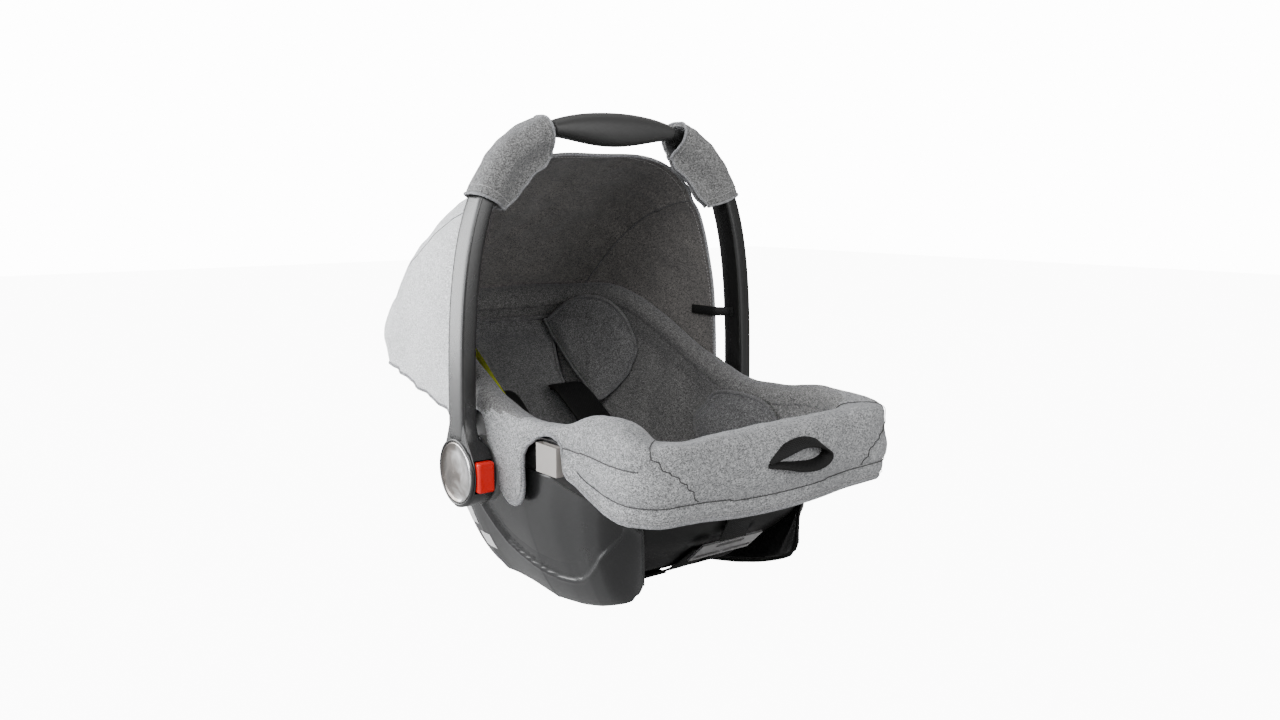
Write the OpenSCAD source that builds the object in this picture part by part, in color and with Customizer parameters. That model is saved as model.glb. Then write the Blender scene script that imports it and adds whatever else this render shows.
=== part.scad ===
// Infant car seat carrier: a bucket shell on two rocker panels, a swinging carry handle
// with lock hubs, padded fabric covers, a canopy and a three-point harness.
// Millimetres, +Z up. The foot end faces -Y. The origin is on the floor, at the centre of
// the overall length and width. Left means -X, as seen by someone at the foot end.

/* [Handle] */
// Height of the pivot axis above the floor
pivot_z = 155; // [150:1:160]
// Distance of the pivot axis from the middle of the length
pivot_y = -29; // [-32:1:-26]
// Half width of the arch's centre line
arch_half_w = 209; // [208:1:214]
// Height of the arch's centre line above the pivot axis
arch_rise = 388.5; // [384:0.5:392]
// Squareness of the arch
arch_power = 3.5; // [3.2:0.1:4]
// Thickness of the legs across the carrier
leg_t = 20; // [16:1:21]
// Depth of the legs along the carrier
leg_d = 34; // [28:1:38]
// Thickness of the grip at its middle
grip_t = 32; // [28:1:34]
// Half length of the grip
grip_half = 82; // [70:1:90]

/* [Hubs] */
// Radius of the hub housing
hub_r = 40; // [38:1:42]
// Inner face of the hub housing, from the middle plane
hub_in = 189; // [188.9:0.1:190]
// Outer face of the hub housing
hub_out = 218.5; // [218:0.1:219]
// Radius of the round cap
cap_r = 35; // [32:1:36]
// Radius of the pivot stud
stud_r = 8; // [7:0.5:9]
// Running clearance of the housing on the stud
stud_gap = 0.06; // [0.03:0.01:0.1]
// Number of teeth on the lock gear
gear_teeth = 12; // [8:1:16]
// Tip radius of the lock gear
gear_r = 27.5; // [26:0.5:28]
// Travel of the release button, and of the lock gear
press = 5; // [4:0.5:5]

/* [Shell] */
// Wall thickness of the bucket shell
shell_t = 4; // [3:0.5:4]
// Thickness of the foam liner
foam_t = 6.3; // [5:0.1:6.5]
// Thickness of the padded seat liner
liner_t = 9; // [7:0.5:10]
// Thickness of the padded rim cover outside the shell
cover_t = 8; // [6:0.5:9]
// Wall thickness of the rocker panels
panel_t = 4; // [3:0.5:5]

/* [Canopy] */
// Thickness of the canopy fabric
canopy_t = 2.4; // [1.5:0.1:3]
// Half width of the canopy at its front edge
canopy_half_w = 190; // [188:1:191]
// Distance of the front edge behind the pivot axis
canopy_back = 23; // [21:1:26]

/* [Harness] */
// Width of the webbing
web_w = 38; // [34:1:40]
// Thickness of the webbing
web_t = 2; // [1.5:0.1:2.2]

/* [Hidden] */
$fn = 64;

plastic_grey = [0.16, 0.16, 0.17];
plastic_black = [0.07, 0.07, 0.075];
heather_light = [0.55, 0.56, 0.58];
heather_dark = [0.25, 0.25, 0.26];
webbing_black = [0.05, 0.05, 0.05];
signal_red = [0.85, 0.08, 0.07];
steel = [0.7, 0.71, 0.73];

// ---- small functions ----
function clamp01(t) = max(0, min(1, t));
function smooth(t) = let (c = clamp01(t)) c * c * (3 - 2 * c);
function mix(a, b, t) = a + (b - a) * t;
function spow(v, e) = sign(v) * pow(abs(v), e);
function unit(v) = v / norm(v);
function col(table, i) = [for (row = table) [row[0], row[i]]];

// ---- solids from grids of points ----
// A loft through closed rings, with flat ends.
module loft(rings) {
  n = len(rings);
  m = len(rings[0]);
  sides = [
    for (i = [0:n - 2], j = [0:m - 1])
      let (a = i * m + j, b = i * m + (j + 1) % m)
        each [[a, b, b + m], [a, b + m, a + m]]
  ];
  first = [for (j = [m - 1:-1:0]) j];
  last = [for (j = [0:m - 1]) (n - 1) * m + j];
  polyhedron([for (r = rings) each r], concat([first, last], sides), convexity = 8);
}

// A closed ring of closed sections, such as a rolled rim.
module torus_loft(rings) {
  n = len(rings);
  m = len(rings[0]);
  sides = [
    for (i = [0:n - 1], j = [0:m - 1])
      let (a = i * m + j, b = i * m + (j + 1) % m, k = (i + 1) % n * m - i * m)
        each [[a, b, b + k], [a, b + k, a + k]]
  ];
  polyhedron([for (r = rings) each r], sides, convexity = 8);
}

// A sheet between two grids of the same size, closed round its four edges.
module sheet(outer, inner) {
  n = len(outer);
  m = len(outer[0]);
  s = n * m;
  tops = [
    for (i = [0:n - 2], j = [0:m - 2])
      let (a = i * m + j) each [[a, a + 1, a + m + 1], [a, a + m + 1, a + m]]
  ];
  flipped = [for (f = tops) [f[2] + s, f[1] + s, f[0] + s]];
  edge = concat(
    [for (j = [0:m - 2]) [j + 1, j]],
    [for (i = [0:n - 2]) [i * m, (i + 1) * m]],
    [for (j = [0:m - 2]) [(n - 1) * m + j, (n - 1) * m + j + 1]],
    [for (i = [0:n - 2]) [(i + 2) * m - 1, (i + 1) * m - 1]]
  );
  rims = [for (e = edge) each [[e[0], e[1], e[1] + s], [e[0], e[1] + s, e[0] + s]]];
  points = concat([for (r = outer) each r], [for (r = inner) each r]);
  polyhedron(points, concat(tops, flipped, rims), convexity = 8);
}

// A bowl between two grids whose rows are closed rings, from the rim down to the bottom.
module bowl(outer, inner) {
  n = len(outer);
  m = len(outer[0]);
  s = n * m;
  walls = [
    for (i = [0:n - 2], j = [0:m - 1])
      let (a = i * m + j, b = i * m + (j + 1) % m)
        each [[a, b, b + m], [a, b + m, a + m]]
  ];
  flipped = [for (f = walls) [f[2] + s, f[1] + s, f[0] + s]];
  rim = [
    for (j = [0:m - 1])
      let (k = (j + 1) % m) each [[k, j, j + s], [k, j + s, k + s]]
  ];
  floor_out = [for (j = [0:m - 1]) (n - 1) * m + j];
  floor_in = [for (j = [m - 1:-1:0]) s + (n - 1) * m + j];
  points = concat([for (r = outer) each r], [for (r = inner) each r]);
  polyhedron(points, concat([floor_out, floor_in], walls, flipped, rim), convexity = 8);
}

// ---- the bucket's surface ----
// Per row, from the rim (0) to the flat bottom (1): front y, front z, rear y, rear z,
// half width at the sides, side z.
bucket = [
  [0.00, -317.5, 220, 286, 325, 176, 217],
  [0.14, -319.5, 178, 302, 285, 178, 188],
  [0.22, -312, 152, 299, 262, 173, 172],
  [0.28, -275, 143, 291, 240, 162, 156],
  [0.45, -245, 98, 246, 182, 146, 108],
  [0.63, -200, 56, 166, 102, 119, 62],
  [0.82, -140, 27, 88, 40, 86, 29],
  [1.00, -80, 16, 30, 16, 56, 16]
];
bucket_rows = [0, 0.07, 0.14, 0.18, 0.22, 0.25, 0.28, 0.36, 0.45, 0.54, 0.63, 0.72, 0.82, 0.91, 1];
bucket_cols = 48;
front_power = 5;
rear_power = 3.2;
// Drop of the rim at the middle of the head end.
head_droop = 7;

function bucket_value(t, i) = lookup(t, col(bucket, i));

// A point of the bucket's outer surface at the angle a, 0 at the right side, 90 at the head.
function bucket_at(a, t) =
  let (
    y0 = bucket_value(t, 1),
    y1 = bucket_value(t, 3),
    p = sin(a) < 0 ? front_power : rear_power,
    r = pow(pow(abs(cos(a)), p) + pow(abs(sin(a)), p), -1 / p),
    k = (1 + sin(a) * r) / 2,
    x = bucket_value(t, 5) * (1 - 0.07 * smooth((k - 0.45) / 0.5)) * cos(a) * r,
    side_z = bucket_value(t, 6),
    z = k < 0.35
      ? mix(side_z, bucket_value(t, 2), smooth((0.35 - k) / 0.3))
      : mix(side_z, bucket_value(t, 4), smooth((k - 0.35) / 0.5)),
    droop = head_droop * smooth((k - 0.84) / 0.16) * max(0, 1 - t / 0.14)
  )
    [x, mix(y0, y1, k), z - droop];

// The inward normal there.
function bucket_normal(a, t) =
  unit(cross(
    bucket_at(a + 1, t) - bucket_at(a - 1, t),
    bucket_at(a, min(1, t + 0.02)) - bucket_at(a, max(0, t - 0.02))
  ));

// The same point moved in, towards the occupant, by d.
function bucket_in(a, t, d) = bucket_at(a, t) + d * bucket_normal(a, t);

function bucket_grid(d, rows) = [
  for (t = rows) [for (j = [0:bucket_cols - 1]) bucket_in(j * 360 / bucket_cols, t, d)]
];

// ---- layers inside the bucket, as depths from its outer surface ----
layer_gap = 0.5;
foam_at = shell_t + 1.2;
liner_at = foam_at + foam_t + layer_gap;
insert_at = liner_at + liner_t + layer_gap;

// Depth of the infant insert's face: thin behind the head, thick behind the body.
function insert_face(t) = mix(insert_at + 12, insert_at + 38, smooth((t - 0.14) / 0.34));

strap_slot = [60, 205, 165];
crotch_y = -92;
slot_w = web_w + 8;
front_y = -318;
front_slot_z = 191;
yoke_row = 0.36;

module strap_slots() {
  for (s = [-1, 1]) translate([s * strap_slot.x, strap_slot.y, strap_slot.z]) rotate([45, 0, 0])
    cube([slot_w, 8, 120], center = true);
  translate([0, crotch_y, 40]) cube([slot_w, 8, 70], center = true);
  translate(bucket_at(270, yoke_row)) rotate([33.5, 0, 0]) cube([slot_w, 80, 10], center = true);
}

module adjuster_window() translate([-27, -331, 170]) cube([54, 55, 44]);
module front_slot() translate([0, front_y, front_slot_z]) cube([slot_w, 40, 9], center = true);

// The whole space inside the bucket's outer surface, grown by g and open upwards.
module bucket_solid(g) {
  rows = bucket_grid(-g, bucket_rows);
  loft(concat([[for (p = rows[0]) [p.x, p.y, 420]]], rows));
}

// ---- shell ----
module seat_shell() color(plastic_black) {
  difference() {
    bowl(bucket_grid(0, bucket_rows), bucket_grid(shell_t, bucket_rows));
    strap_slots();
    front_slot();
    screw_bores();
  }
}

module foam_liner() color("white") {
  rows = [0.14, 0.22, 0.28, 0.45, 0.63, 0.82, 1];
  difference() {
    bowl(bucket_grid(foam_at, rows), bucket_grid(foam_at + foam_t, rows));
    strap_slots();
    adjuster_window();
  }
}

// ---- rocker panels ----
// Height of the panel's lower edge along its length: a straight stretch stands on the floor.
panel_bottom = [
  [-238, 62], [-234, 48], [-222, 37], [-205, 30], [-177, 20], [-138, 10], [-100, 3.5],
  [-78, 0], [34, 0], [48, 5], [62, 14], [72, 28], [76, 44], [77, 60]
];
panel_top = [
  [-262, 134], [-240, 145], [-220, 155], [-200, 163], [-180, 168], [50, 168], [68, 160]
];
panel_top_w = [
  [-262, 139], [-240, 154], [-220, 162], [-200, 168], [-150, 175], [-90, 178], [20, 178],
  [68, 172]
];
panel_foot_w = [
  [-238, 118], [-177, 124], [-138, 121], [-100, 118], [-60, 114], [-10, 109], [34, 109],
  [62, 118], [77, 126]
];
panel_foot = 12;
panel_cols = [0, 0.12, 0.26, 0.4, 0.55, 0.7, 0.82, 0.92, 1];

function panel_row(y_top, y_bot, inset) =
  let (
    zt = lookup(y_top, panel_top),
    zb = lookup(y_bot, panel_bottom),
    wt = lookup(y_top, panel_top_w) - inset,
    wb = lookup(y_bot, panel_foot_w) - inset,
    lift = min(1, inset)
  )
    concat(
      [
        for (v = panel_cols)
          let (h = 1 - v)
            [mix(wb, wt, pow(sin(90 * h), 0.8)), mix(y_top, y_bot, v), mix(zt, zb + inset * 0.9, v)]
      ],
      [[wb - panel_foot + 2 * inset * lift, y_bot, zb + inset * 0.9]]
    );

module rocker_panel() {
  steps = 34;
  outer = [
    for (i = [0:steps]) panel_row(mix(-262, 68, i / steps), mix(-238, 77, i / steps), 0)
  ];
  inner = [
    for (i = [0:steps])
      panel_row(mix(-262, 68, i / steps), mix(-238, 77, i / steps), panel_t)
  ];
  color(plastic_grey) difference() {
    sheet(inner, outer);
    bucket_solid(0.4);
    screw_bores();
  }
}

module left_rocker_panel() mirror([1, 0, 0]) rocker_panel();
module right_rocker_panel() rocker_panel();

// ---- hubs, drawn for the right side about the pivot axis ----
module on_hub(side) mirror([side < 0 ? 1 : 0, 0, 0]) translate([0, pivot_y, pivot_z]) children();
module disc(x0, x1, r) translate([x0, 0, 0]) rotate([0, 90, 0]) cylinder(r = r, h = x1 - x0);
module plate(x0, x1) translate([x0, 0, 0]) rotate([90, 0, 90]) linear_extrude(x1 - x0) children();

socket_in = 178.6;
socket_out = 188.4;
gear_in = 185.6;
gear_out = 196.6;
spline_out = 197;
cavity_out = 210;
nut_in = 213.5;
cap_in = 216.6;
cap_out = 220.6;
tooth = 360 / gear_teeth;

// The three screws of each socket sit at these angles on this radius.
screw_angles = [0, 120, 240];
screw_at = 33.5;
screw_r = 1.5;

module at_screws() for (a = screw_angles) rotate([a, 0, 0]) translate([0, 0, screw_at]) children();
module screw_bores() for (s = [-1, 1]) on_hub(s) at_screws() disc(socket_in - 8, socket_out, screw_r + 0.1);

// Outline of the lock gear, grown by g.
module gear_outline(g) {
  root = gear_r - 3.2 + g;
  tip = gear_r + g;
  half = tooth * 0.2 + g * 57.3 / gear_r;
  polygon([
    for (i = [0:gear_teeth - 1], k = [[-half, root], [-half, tip], [half, tip], [half, root]])
      k[1] * [cos(i * tooth + k[0]), sin(i * tooth + k[0])]
  ]);
}

module hub_socket(side) color(plastic_black) on_hub(side) {
  difference() {
    disc(socket_in, socket_out, hub_r - 2);
    disc(gear_in - 0.4, socket_out + 1, gear_r + 0.6);
    plate(gear_in - 0.4, socket_out + 1) gear_outline(1.8);
    disc(socket_in - 1, socket_out, stud_r + 0.02);
    disc(socket_in - 1, socket_in + 2.55, 13.1);
    at_screws() {
      disc(socket_in - 1, socket_out + 1, screw_r + 0.02);
      disc(socket_out - 2.2, socket_out + 1, 3.2);
    }
  }
}

module pivot_studs() color(steel) for (s = [-1, 1]) on_hub(s) {
  disc(socket_in, socket_in + 2.5, 13);
  disc(socket_in + 2.5, nut_in, stud_r);
  disc(nut_in, cap_in - 0.4, 5);
}

module stud_nuts() color(steel) for (s = [-1, 1]) on_hub(s) difference() {
  disc(nut_in + 0.1, cap_in - 0.4, 12);
  disc(nut_in, cap_in, 5.01);
}

module socket_screws() color(steel) for (s = [-1, 1]) on_hub(s) at_screws() {
  disc(socket_in - 6, socket_out - 2.2, screw_r);
  disc(socket_out - 2.2, socket_out - 0.4, 3);
}

button_in = 193.4;
button_out = 214.2;
button_half = 17.4;
button_face = 43.5;
finger_z = 15.2;
pin_x = 203;
pin_y = -20;
pin_r = 1.4;
gear_ratio = 0.6;

module hub_housing(side) color(plastic_grey) on_hub(side) {
  difference() {
    union() {
      disc(hub_in, hub_out, hub_r);
      plate(arch_half_w - leg_t / 2, arch_half_w + leg_t / 2 - 0.5)
        polygon([[-35, 18], [35, 18], [24, 42], [leg_d / 2, 62], [-leg_d / 2, 62], [-24, 42]]);
    }
    plate(hub_in - 1, spline_out) gear_outline(0.4);
    disc(spline_out - 0.5, cavity_out, 30);
    disc(cavity_out - 1, nut_in, stud_r + stud_gap);
    disc(nut_in, cap_in, 13);
    disc(cap_in - 0.6, hub_out + 3, cap_r + 0.5);
    translate([button_in - 0.4, -hub_r - 6, -button_half - 0.4])
      cube([button_out - button_in + 0.8, 22.5, 2 * button_half + 0.8]);
  }
}

module hub_cap(side) color("silver") on_hub(side) {
  disc(cap_in, cap_out - 1.4, cap_r);
  translate([cap_out - 1.4, 0, 0]) rotate([0, 90, 0]) cylinder(r1 = cap_r, r2 = cap_r - 2.5, h = 1.4);
}

module release_button(side) color(signal_red) on_hub(side) {
  difference() {
    translate([button_in, -button_face, -button_half])
      cube([button_out - button_in, button_face - 34, 2 * button_half]);
    // finger groove across the face
    translate([button_in - 1, -button_face - 28.6, 0]) rotate([0, 90, 0])
      cylinder(r = 30, h = button_out - button_in + 2);
  }
  // two slotted fingers that draw the lock gear out
  for (m = [0, 1]) mirror([0, 0, m]) translate([0, 0, finger_z]) linear_extrude(button_half - finger_z)
    difference() {
      translate([200.3, -34.5]) square([9, 20]);
      slot = [pin_x, pin_y];
      translate(slot) circle(r = pin_r + 0.35);
      translate(slot + [press * gear_ratio, -press]) circle(r = pin_r + 0.35);
      translate(slot) rotate(atan2(-1, gear_ratio)) translate([0, -pin_r - 0.3])
        square([press * norm([1, gear_ratio]), 2 * pin_r + 0.6]);
    }
}

module lock_gear(side) color("white") on_hub(side) {
  difference() {
    plate(gear_in, gear_out) gear_outline(0);
    disc(gear_in - 1, gear_out + 1, stud_r + 0.5);
  }
  for (m = [0, 1]) mirror([0, 0, m]) {
    translate([gear_out, pin_y - 2.5, 9.5]) cube([pin_x + pin_r - gear_out, 5, 3]);
    translate([pin_x, pin_y, 12.5]) cylinder(r = pin_r, h = 4.6);
  }
}

// A helical spring of n turns between x0 and x1.
function spring_rings(r, wire, x0, x1, n, per_turn, sides) = [
  for (i = [0:n * per_turn])
    let (a = i * 360 / per_turn, x = mix(x0, x1, i / (n * per_turn)))
      [
        for (k = [0:sides - 1])
          let (q = k * 360 / sides, rr = r + wire * cos(q))
            [x + wire * sin(q), rr * cos(a), rr * sin(a)]
      ]
];

module lock_spring(side) color(steel) on_hub(side)
  loft(spring_rings(13, 0.7, gear_out + 0.9, cavity_out - 0.9, 4, 12, 6));

module left_hub_socket() hub_socket(-1);
module right_hub_socket() hub_socket(1);
module left_hub_housing() hub_housing(-1);
module right_hub_housing() hub_housing(1);
module left_hub_cap() hub_cap(-1);
module right_hub_cap() hub_cap(1);
module left_release_button() release_button(-1);
module right_release_button() release_button(1);
module left_lock_gear() lock_gear(-1);
module right_lock_gear() lock_gear(1);
module left_lock_spring() lock_spring(-1);
module right_lock_spring() lock_spring(1);

// ---- handle ----
// A point of the arch's centre line at the angle b, 0 at the right hub, 90 at the top.
function arch_at(b) =
  let (r = pow(pow(abs(cos(b)), arch_power) + pow(abs(sin(b)), arch_power), -1 / arch_power))
    [arch_half_w * cos(b) * r, 0, arch_rise * sin(b) * r];

function arch_out(b) =
  let (d = unit(arch_at(b + 0.5) - arch_at(b - 0.5))) [d.z, 0, -d.x];

// A rounded section of the arch, th thick and dp deep.
function arch_section(b, th, dp, sides = 16) =
  let (c = arch_at(b), o = arch_out(b))
    [
      for (k = [0:sides - 1])
        let (q = -k * 360 / sides)
          c + o * th / 2 * spow(cos(q), 0.7) + [0, dp / 2 * spow(sin(q), 0.7), 0]
    ];

leg_start = atan(62.3 / arch_rise);
grip_start = 90 - atan(grip_half / arch_half_w);

function arch_t(b) =
  let (s = abs(90 - b))
    mix(15, leg_t, smooth((s - 24) / 24));

function arch_d(b) = mix(26, leg_d, smooth((abs(90 - b) - 24) / 30));

module handle_frame() color(plastic_grey) translate([0, pivot_y, pivot_z]) {
  steps = 56;
  loft([
    for (i = [0:steps])
      let (b = mix(leg_start, 180 - leg_start, i / steps)) arch_section(b, arch_t(b), arch_d(b))
  ]);
}

function grip_bulge(b) = pow(cos(90 * min(1, abs(90 - b) / (90 - grip_start))), 1.3);

module handle_grip() color(plastic_black) translate([0, pivot_y, pivot_z]) {
  steps = 20;
  difference() {
    loft([
      for (i = [0:steps])
        let (b = mix(grip_start, 180 - grip_start, i / steps), k = grip_bulge(b))
          arch_section(b, mix(18.5, grip_t, k), mix(29.5, 37, k))
    ]);
    loft([
      for (i = [0:steps + 2])
        let (b = mix(grip_start - 2, 182 - grip_start, i / (steps + 2)))
          arch_section(b, arch_t(b) + 0.6, arch_d(b) + 0.6)
    ]);
  }
}

// Padded wrap of a handle corner: it folds over the arch and its two flaps meet inside.
wrap_fold = [
  [-38, 5], [-29, 6], [-17, 14], [-9, 20.5], [4, 21.5], [13, 17], [15.5, 8], [16, 0]
];
wrap_lining = [
  [-38, 0.4], [-28, 0.8], [-15, 9], [-10, 16], [0, 18.2], [9.5, 15], [12, 7], [12.2, 0]
];

wrap_from = 43.5;
wrap_to = 64.7;

function wrap_line(half) = concat(
  [for (p = half) [p[0], -p[1]]],
  [for (i = [len(half) - 2:-1:0]) half[i]]
);

module handle_pad() translate([0, pivot_y, pivot_z]) color(heather_light) {
  steps = 14;
  grids = [
    for (half = [wrap_fold, wrap_lining])
      [
        for (i = [0:steps])
          let (b = mix(wrap_from, wrap_to, i / steps), c = arch_at(b), o = arch_out(b))
            [for (p = wrap_line(half)) c + o * p[0] + [0, p[1], 0]]
      ]
  ];
  sheet(grids[1], grids[0]);
}

module left_handle_pad() mirror([1, 0, 0]) handle_pad();
module right_handle_pad() handle_pad();

// Flat tabs sewn inside the canopy's side edges, which reach forward to the legs.
tab_outline = [[184.2, 65], [182.6, 65], [182.6, 21], [194.3, 5], [195.9, 5], [195.9, 7.5], [184.2, 22.5]];
module canopy_tabs() color(webbing_black) for (m = [0, 1]) mirror([m, 0, 0])
  translate([0, pivot_y, pivot_z + 148]) linear_extrude(12) polygon(tab_outline);

// ---- canopy ----
// Per angle back from the upright plane: reach from the pivot axis, narrowing, squareness.
hood = [
  [0, 361, 0, 3.5], [15, 347, 0, 4], [30, 338, 1, 5], [45, 340, 2, 6],
  [56, 353, 4, 6], [62, 369, 6, 6], [68, 373, 10, 6], [76, 368, 14, 5]
];
// Angle of the rear hem at each distance from the pivot axis.
hood_hem = [[60, 55], [90, 61], [175, 68], [304, 74], [360, 76]];
hood_low = 62;

function hood_at(b, v, inset) =
  let (
    h = 76 * v,
    reach = lookup(h, col(hood, 1)) - inset,
    wide = canopy_half_w - lookup(h, col(hood, 2)) - inset,
    p = lookup(h, col(hood, 3)),
    low = asin(hood_low / reach * 0.98),
    q = mix(low, 180 - low, b),
    k = pow(pow(abs(cos(q)), p) + pow(abs(sin(q)), p), -1 / p),
    r = reach * sin(q) * k,
    a = v * lookup(r, hood_hem)
  )
    [
      wide * cos(q) * k,
      pivot_y + canopy_back * (1 - v) + r * sin(a),
      pivot_z + r * cos(a)
    ];

module canopy() color(heather_light) {
  rows = 14;
  cols = 36;
  outer = [for (i = [0:rows]) [for (j = [0:cols]) hood_at(j / cols, i / rows, 0)]];
  inner = [for (i = [0:rows]) [for (j = [0:cols]) hood_at(j / cols, i / rows, canopy_t)]];
  sheet(outer, inner);
}

// ---- padded covers ----
module seat_liner() color(heather_dark) {
  rows = [0.02, 0.14, 0.2, 0.28, 0.36, 0.45, 0.54, 0.63, 0.72, 0.82, 0.91, 1];
  difference() {
    bowl(bucket_grid(liner_at, rows), bucket_grid(liner_at + liner_t, rows));
    strap_slots();
    adjuster_window();
  }
}

// Height of the rim cover's lower edge along the sides.
cover_edge = [
  [-330, 155], [-270, 158], [-255, 166], [-235, 173], [-216, 179], [-205, 185], [-198, 191],
  [-192, 204], [-187, 212], [-140, 212], [-124, 199], [-120, 180], [-116, 172], [-78, 172],
  [-71, 196], [-60, 206], [-30, 222], [20, 238], [60, 235], [120, 255], [300, 265]
];
cover_cols = 112;
// Height of the cover's rolled edge above the shell's rim.
rim_gap = 2.1;
cover_rows = [0, 0.07, 0.14, 0.18, 0.22, 0.25];

// Extra padding that squares the two front corners.
function corner_padding(a) = 27 * exp(-pow((abs(a - 270) - 42) / 8, 2));

function cover_section(a) =
  let (
    top = bucket_at(a, 0),
    low = bucket_at(a, 0.22),
    edge = max(0.02, min(1, (top.z - lookup(top.y, cover_edge)) / (top.z - low.z))) * 0.22,
    out = cover_t + 0.6 + corner_padding(a),
    deep = liner_at + liner_t
  )
    concat(
      [for (v = [1, 0.66, 0.33, 0]) bucket_in(a, edge * v, -out)],
      [
        bucket_in(a, 0, 1.6 - out) + [0, 0, 6], bucket_in(a, 0, 6 - 0.6 * corner_padding(a)) + [0, 0, 10],
        bucket_in(a, 0, 16) + [0, 0, 8], bucket_in(a, 0, deep) + [0, 0, 4],
        bucket_in(a, 0, deep) + [0, 0, rim_gap], bucket_in(a, 0, -0.6) + [0, 0, rim_gap]
      ],
      [for (v = [0.33, 0.66, 1]) bucket_in(a, edge * v, -0.6)]
    );

module rim_cover() color(heather_light)
  difference() {
    torus_loft([for (j = [0:cover_cols - 1]) cover_section(j * 360 / cover_cols)]);
    bowl(bucket_grid(-0.3, cover_rows), bucket_grid(shell_t, cover_rows));
    front_slot();
  }

// A domed pad on the inner surface round the angle a0 and row t0.
module dome_pad(a0, t0, a_half, t_half, depth, height) {
  steps = 24;
  shells = [1, 0.93, 0.78, 0.55, 0.3, 0.08];
  outer = [
    for (k = shells)
      [
        for (i = [0:steps - 1])
          let (q = i * 360 / steps)
            bucket_in(
              a0 + a_half * k * spow(cos(q), 0.8),
              t0 - t_half * k * spow(sin(q), 0.8),
              depth + height * sqrt(1 - k * k * 0.96)
            )
      ]
  ];
  inner = [
    for (k = shells)
      [
        for (i = [0:steps - 1])
          let (q = i * 360 / steps)
            bucket_in(a0 + a_half * k * spow(cos(q), 0.8), t0 - t_half * k * spow(sin(q), 0.8), depth)
      ]
  ];
  bowl(outer, inner);
}

module right_head_pad() color(heather_dark) difference() {
  dome_pad(45, 0.27, 19, 0.21, 39, 15);
  infant_insert();
  // corridor of the shoulder strap
  translate([strap_slot.x - 31, 100, 100]) cube([62, 120, 112]);
}
module left_head_pad() mirror([1, 0, 0]) right_head_pad();
module right_hip_pad() color(heather_dark) dome_pad(-17, 0.15, 11, 0.13, insert_at + 0.6, 12);
module left_hip_pad() mirror([1, 0, 0]) right_hip_pad();

// Infant insert on the back and the seat.
insert_rows = [0.12, 0.2, 0.28, 0.37, 0.46, 0.55, 0.64, 0.74, 0.84, 0.94];
insert_front = -58;

function insert_grid(face) = concat(
  [
    for (t = insert_rows)
      [for (j = [0:12]) bucket_in(mix(52, 128, j / 12), t, face ? insert_face(t) - 3 : insert_at)]
  ],
  [
    for (k = [0.35, 0.7, 1])
      [
        for (j = [0:12])
          let (
            t = 0.94,
            depth = face ? mix(insert_face(t) - 3, insert_at + 8, k) : insert_at,
            p = bucket_in(mix(52, 128, j / 12), t, depth)
          )
            [p.x, mix(p.y, insert_front, k), p.z]
      ]
  ]
);

module infant_insert() color(heather_dark) difference() {
  sheet(insert_grid(false), insert_grid(true));
  strap_slots();
}

// ---- harness ----
// A smooth curve through hand-set points, with n steps between each pair.
function curve(p, n = 4) = [
  for (i = [0:len(p) - 2], k = [0:n - (i == len(p) - 2 ? 0 : 1)])
    let (
      a = p[max(0, i - 1)], b = p[i], c = p[i + 1], d = p[min(len(p) - 1, i + 2)], t = k / n
    )
      0.5 * (2 * b + (c - a) * t + (2 * a - 5 * b + 4 * c - d) * t * t
        + (3 * b - a - 3 * c + d) * t * t * t)
];

// A flat band along a path, raised by lift on its face side.
function band(path, side, w, th, lift = 0) = [
  for (i = [0:len(path) - 1])
    let (
      t = unit(path[min(i + 1, len(path) - 1)] - path[max(i - 1, 0)]),
      s = unit(side - (side * t) * t),
      f = cross(s, t),
      c = path[i] + f * lift
    )
      [
        c + s * w / 2 + f * th / 2, c - s * w / 2 + f * th / 2,
        c - s * w / 2 - f * th / 2, c + s * w / 2 - f * th / 2
      ]
];

buckle_at = [0, -96, 82];
buckle_lean = -20;
buckle_size = [46, 17, 48];
tongue_slot = [26, 0, buckle_size.z / 2 + 13];
web_x = 21;
// The straps part here to pass the crotch strap's anchor.
pass_x = 38;
under_gap = 3.5;

module at_buckle() translate(buckle_at) rotate([buckle_lean, 0, 0]) children();
function from_buckle(p) = buckle_at + [
  p.x,
  p.y * cos(buckle_lean) - p.z * sin(buckle_lean),
  p.y * sin(buckle_lean) + p.z * cos(buckle_lean)
];

// The webbing under the shell, at a row of the bucket's centre line.
function under(a, t, x) = let (p = bucket_in(a, t, -under_gap)) [x, p.y, p.z];

function shoulder_path(rise) = curve([
  under(270, 0.52, web_x), under(270, 0.66, web_x + 6), under(270, 0.86, pass_x),
  under(270, 1, pass_x) + [0, 14, -1], under(90, 1, pass_x) + [0, -14, -1],
  under(90, 0.84, pass_x), under(90, 0.66, pass_x), under(90, 0.53, strap_slot.x - 6),
  strap_slot + [0, 21, -21], strap_slot + [0, -14, 14], strap_slot + [-4, -52, 30 + rise * 0.16],
  [50, 80, 150 + rise * 0.8], [42, 20, 145 + rise], [34, -30, 135 + rise * 0.7],
  from_buckle(tongue_slot + [3, 4, 26]), from_buckle(tongue_slot)
]);

function lap_path() = curve([
  from_buckle(tongue_slot), from_buckle(tongue_slot + [16, -6, 5]), [66, -72, 116],
  [92, -58, 104], [106, -48, 100]
]);

module harness_webbing(rise) color(webbing_black) {
  loft(band(shoulder_path(rise), [1, 0, 0], web_w, web_t));
  loft(band(lap_path(), [0, 1, 0.6], web_w - 12, web_t));
}

strap_rise = [22, 52];
module left_harness_webbing() mirror([1, 0, 0]) harness_webbing(strap_rise[0]);
module right_harness_webbing() harness_webbing(strap_rise[1]);

module shoulder_cover(rise) color(webbing_black)
  loft(band([for (i = [39:54]) shoulder_path(rise)[i]], [1, 0, 0], 54, 6, -web_t / 2 - 3.4));

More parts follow.
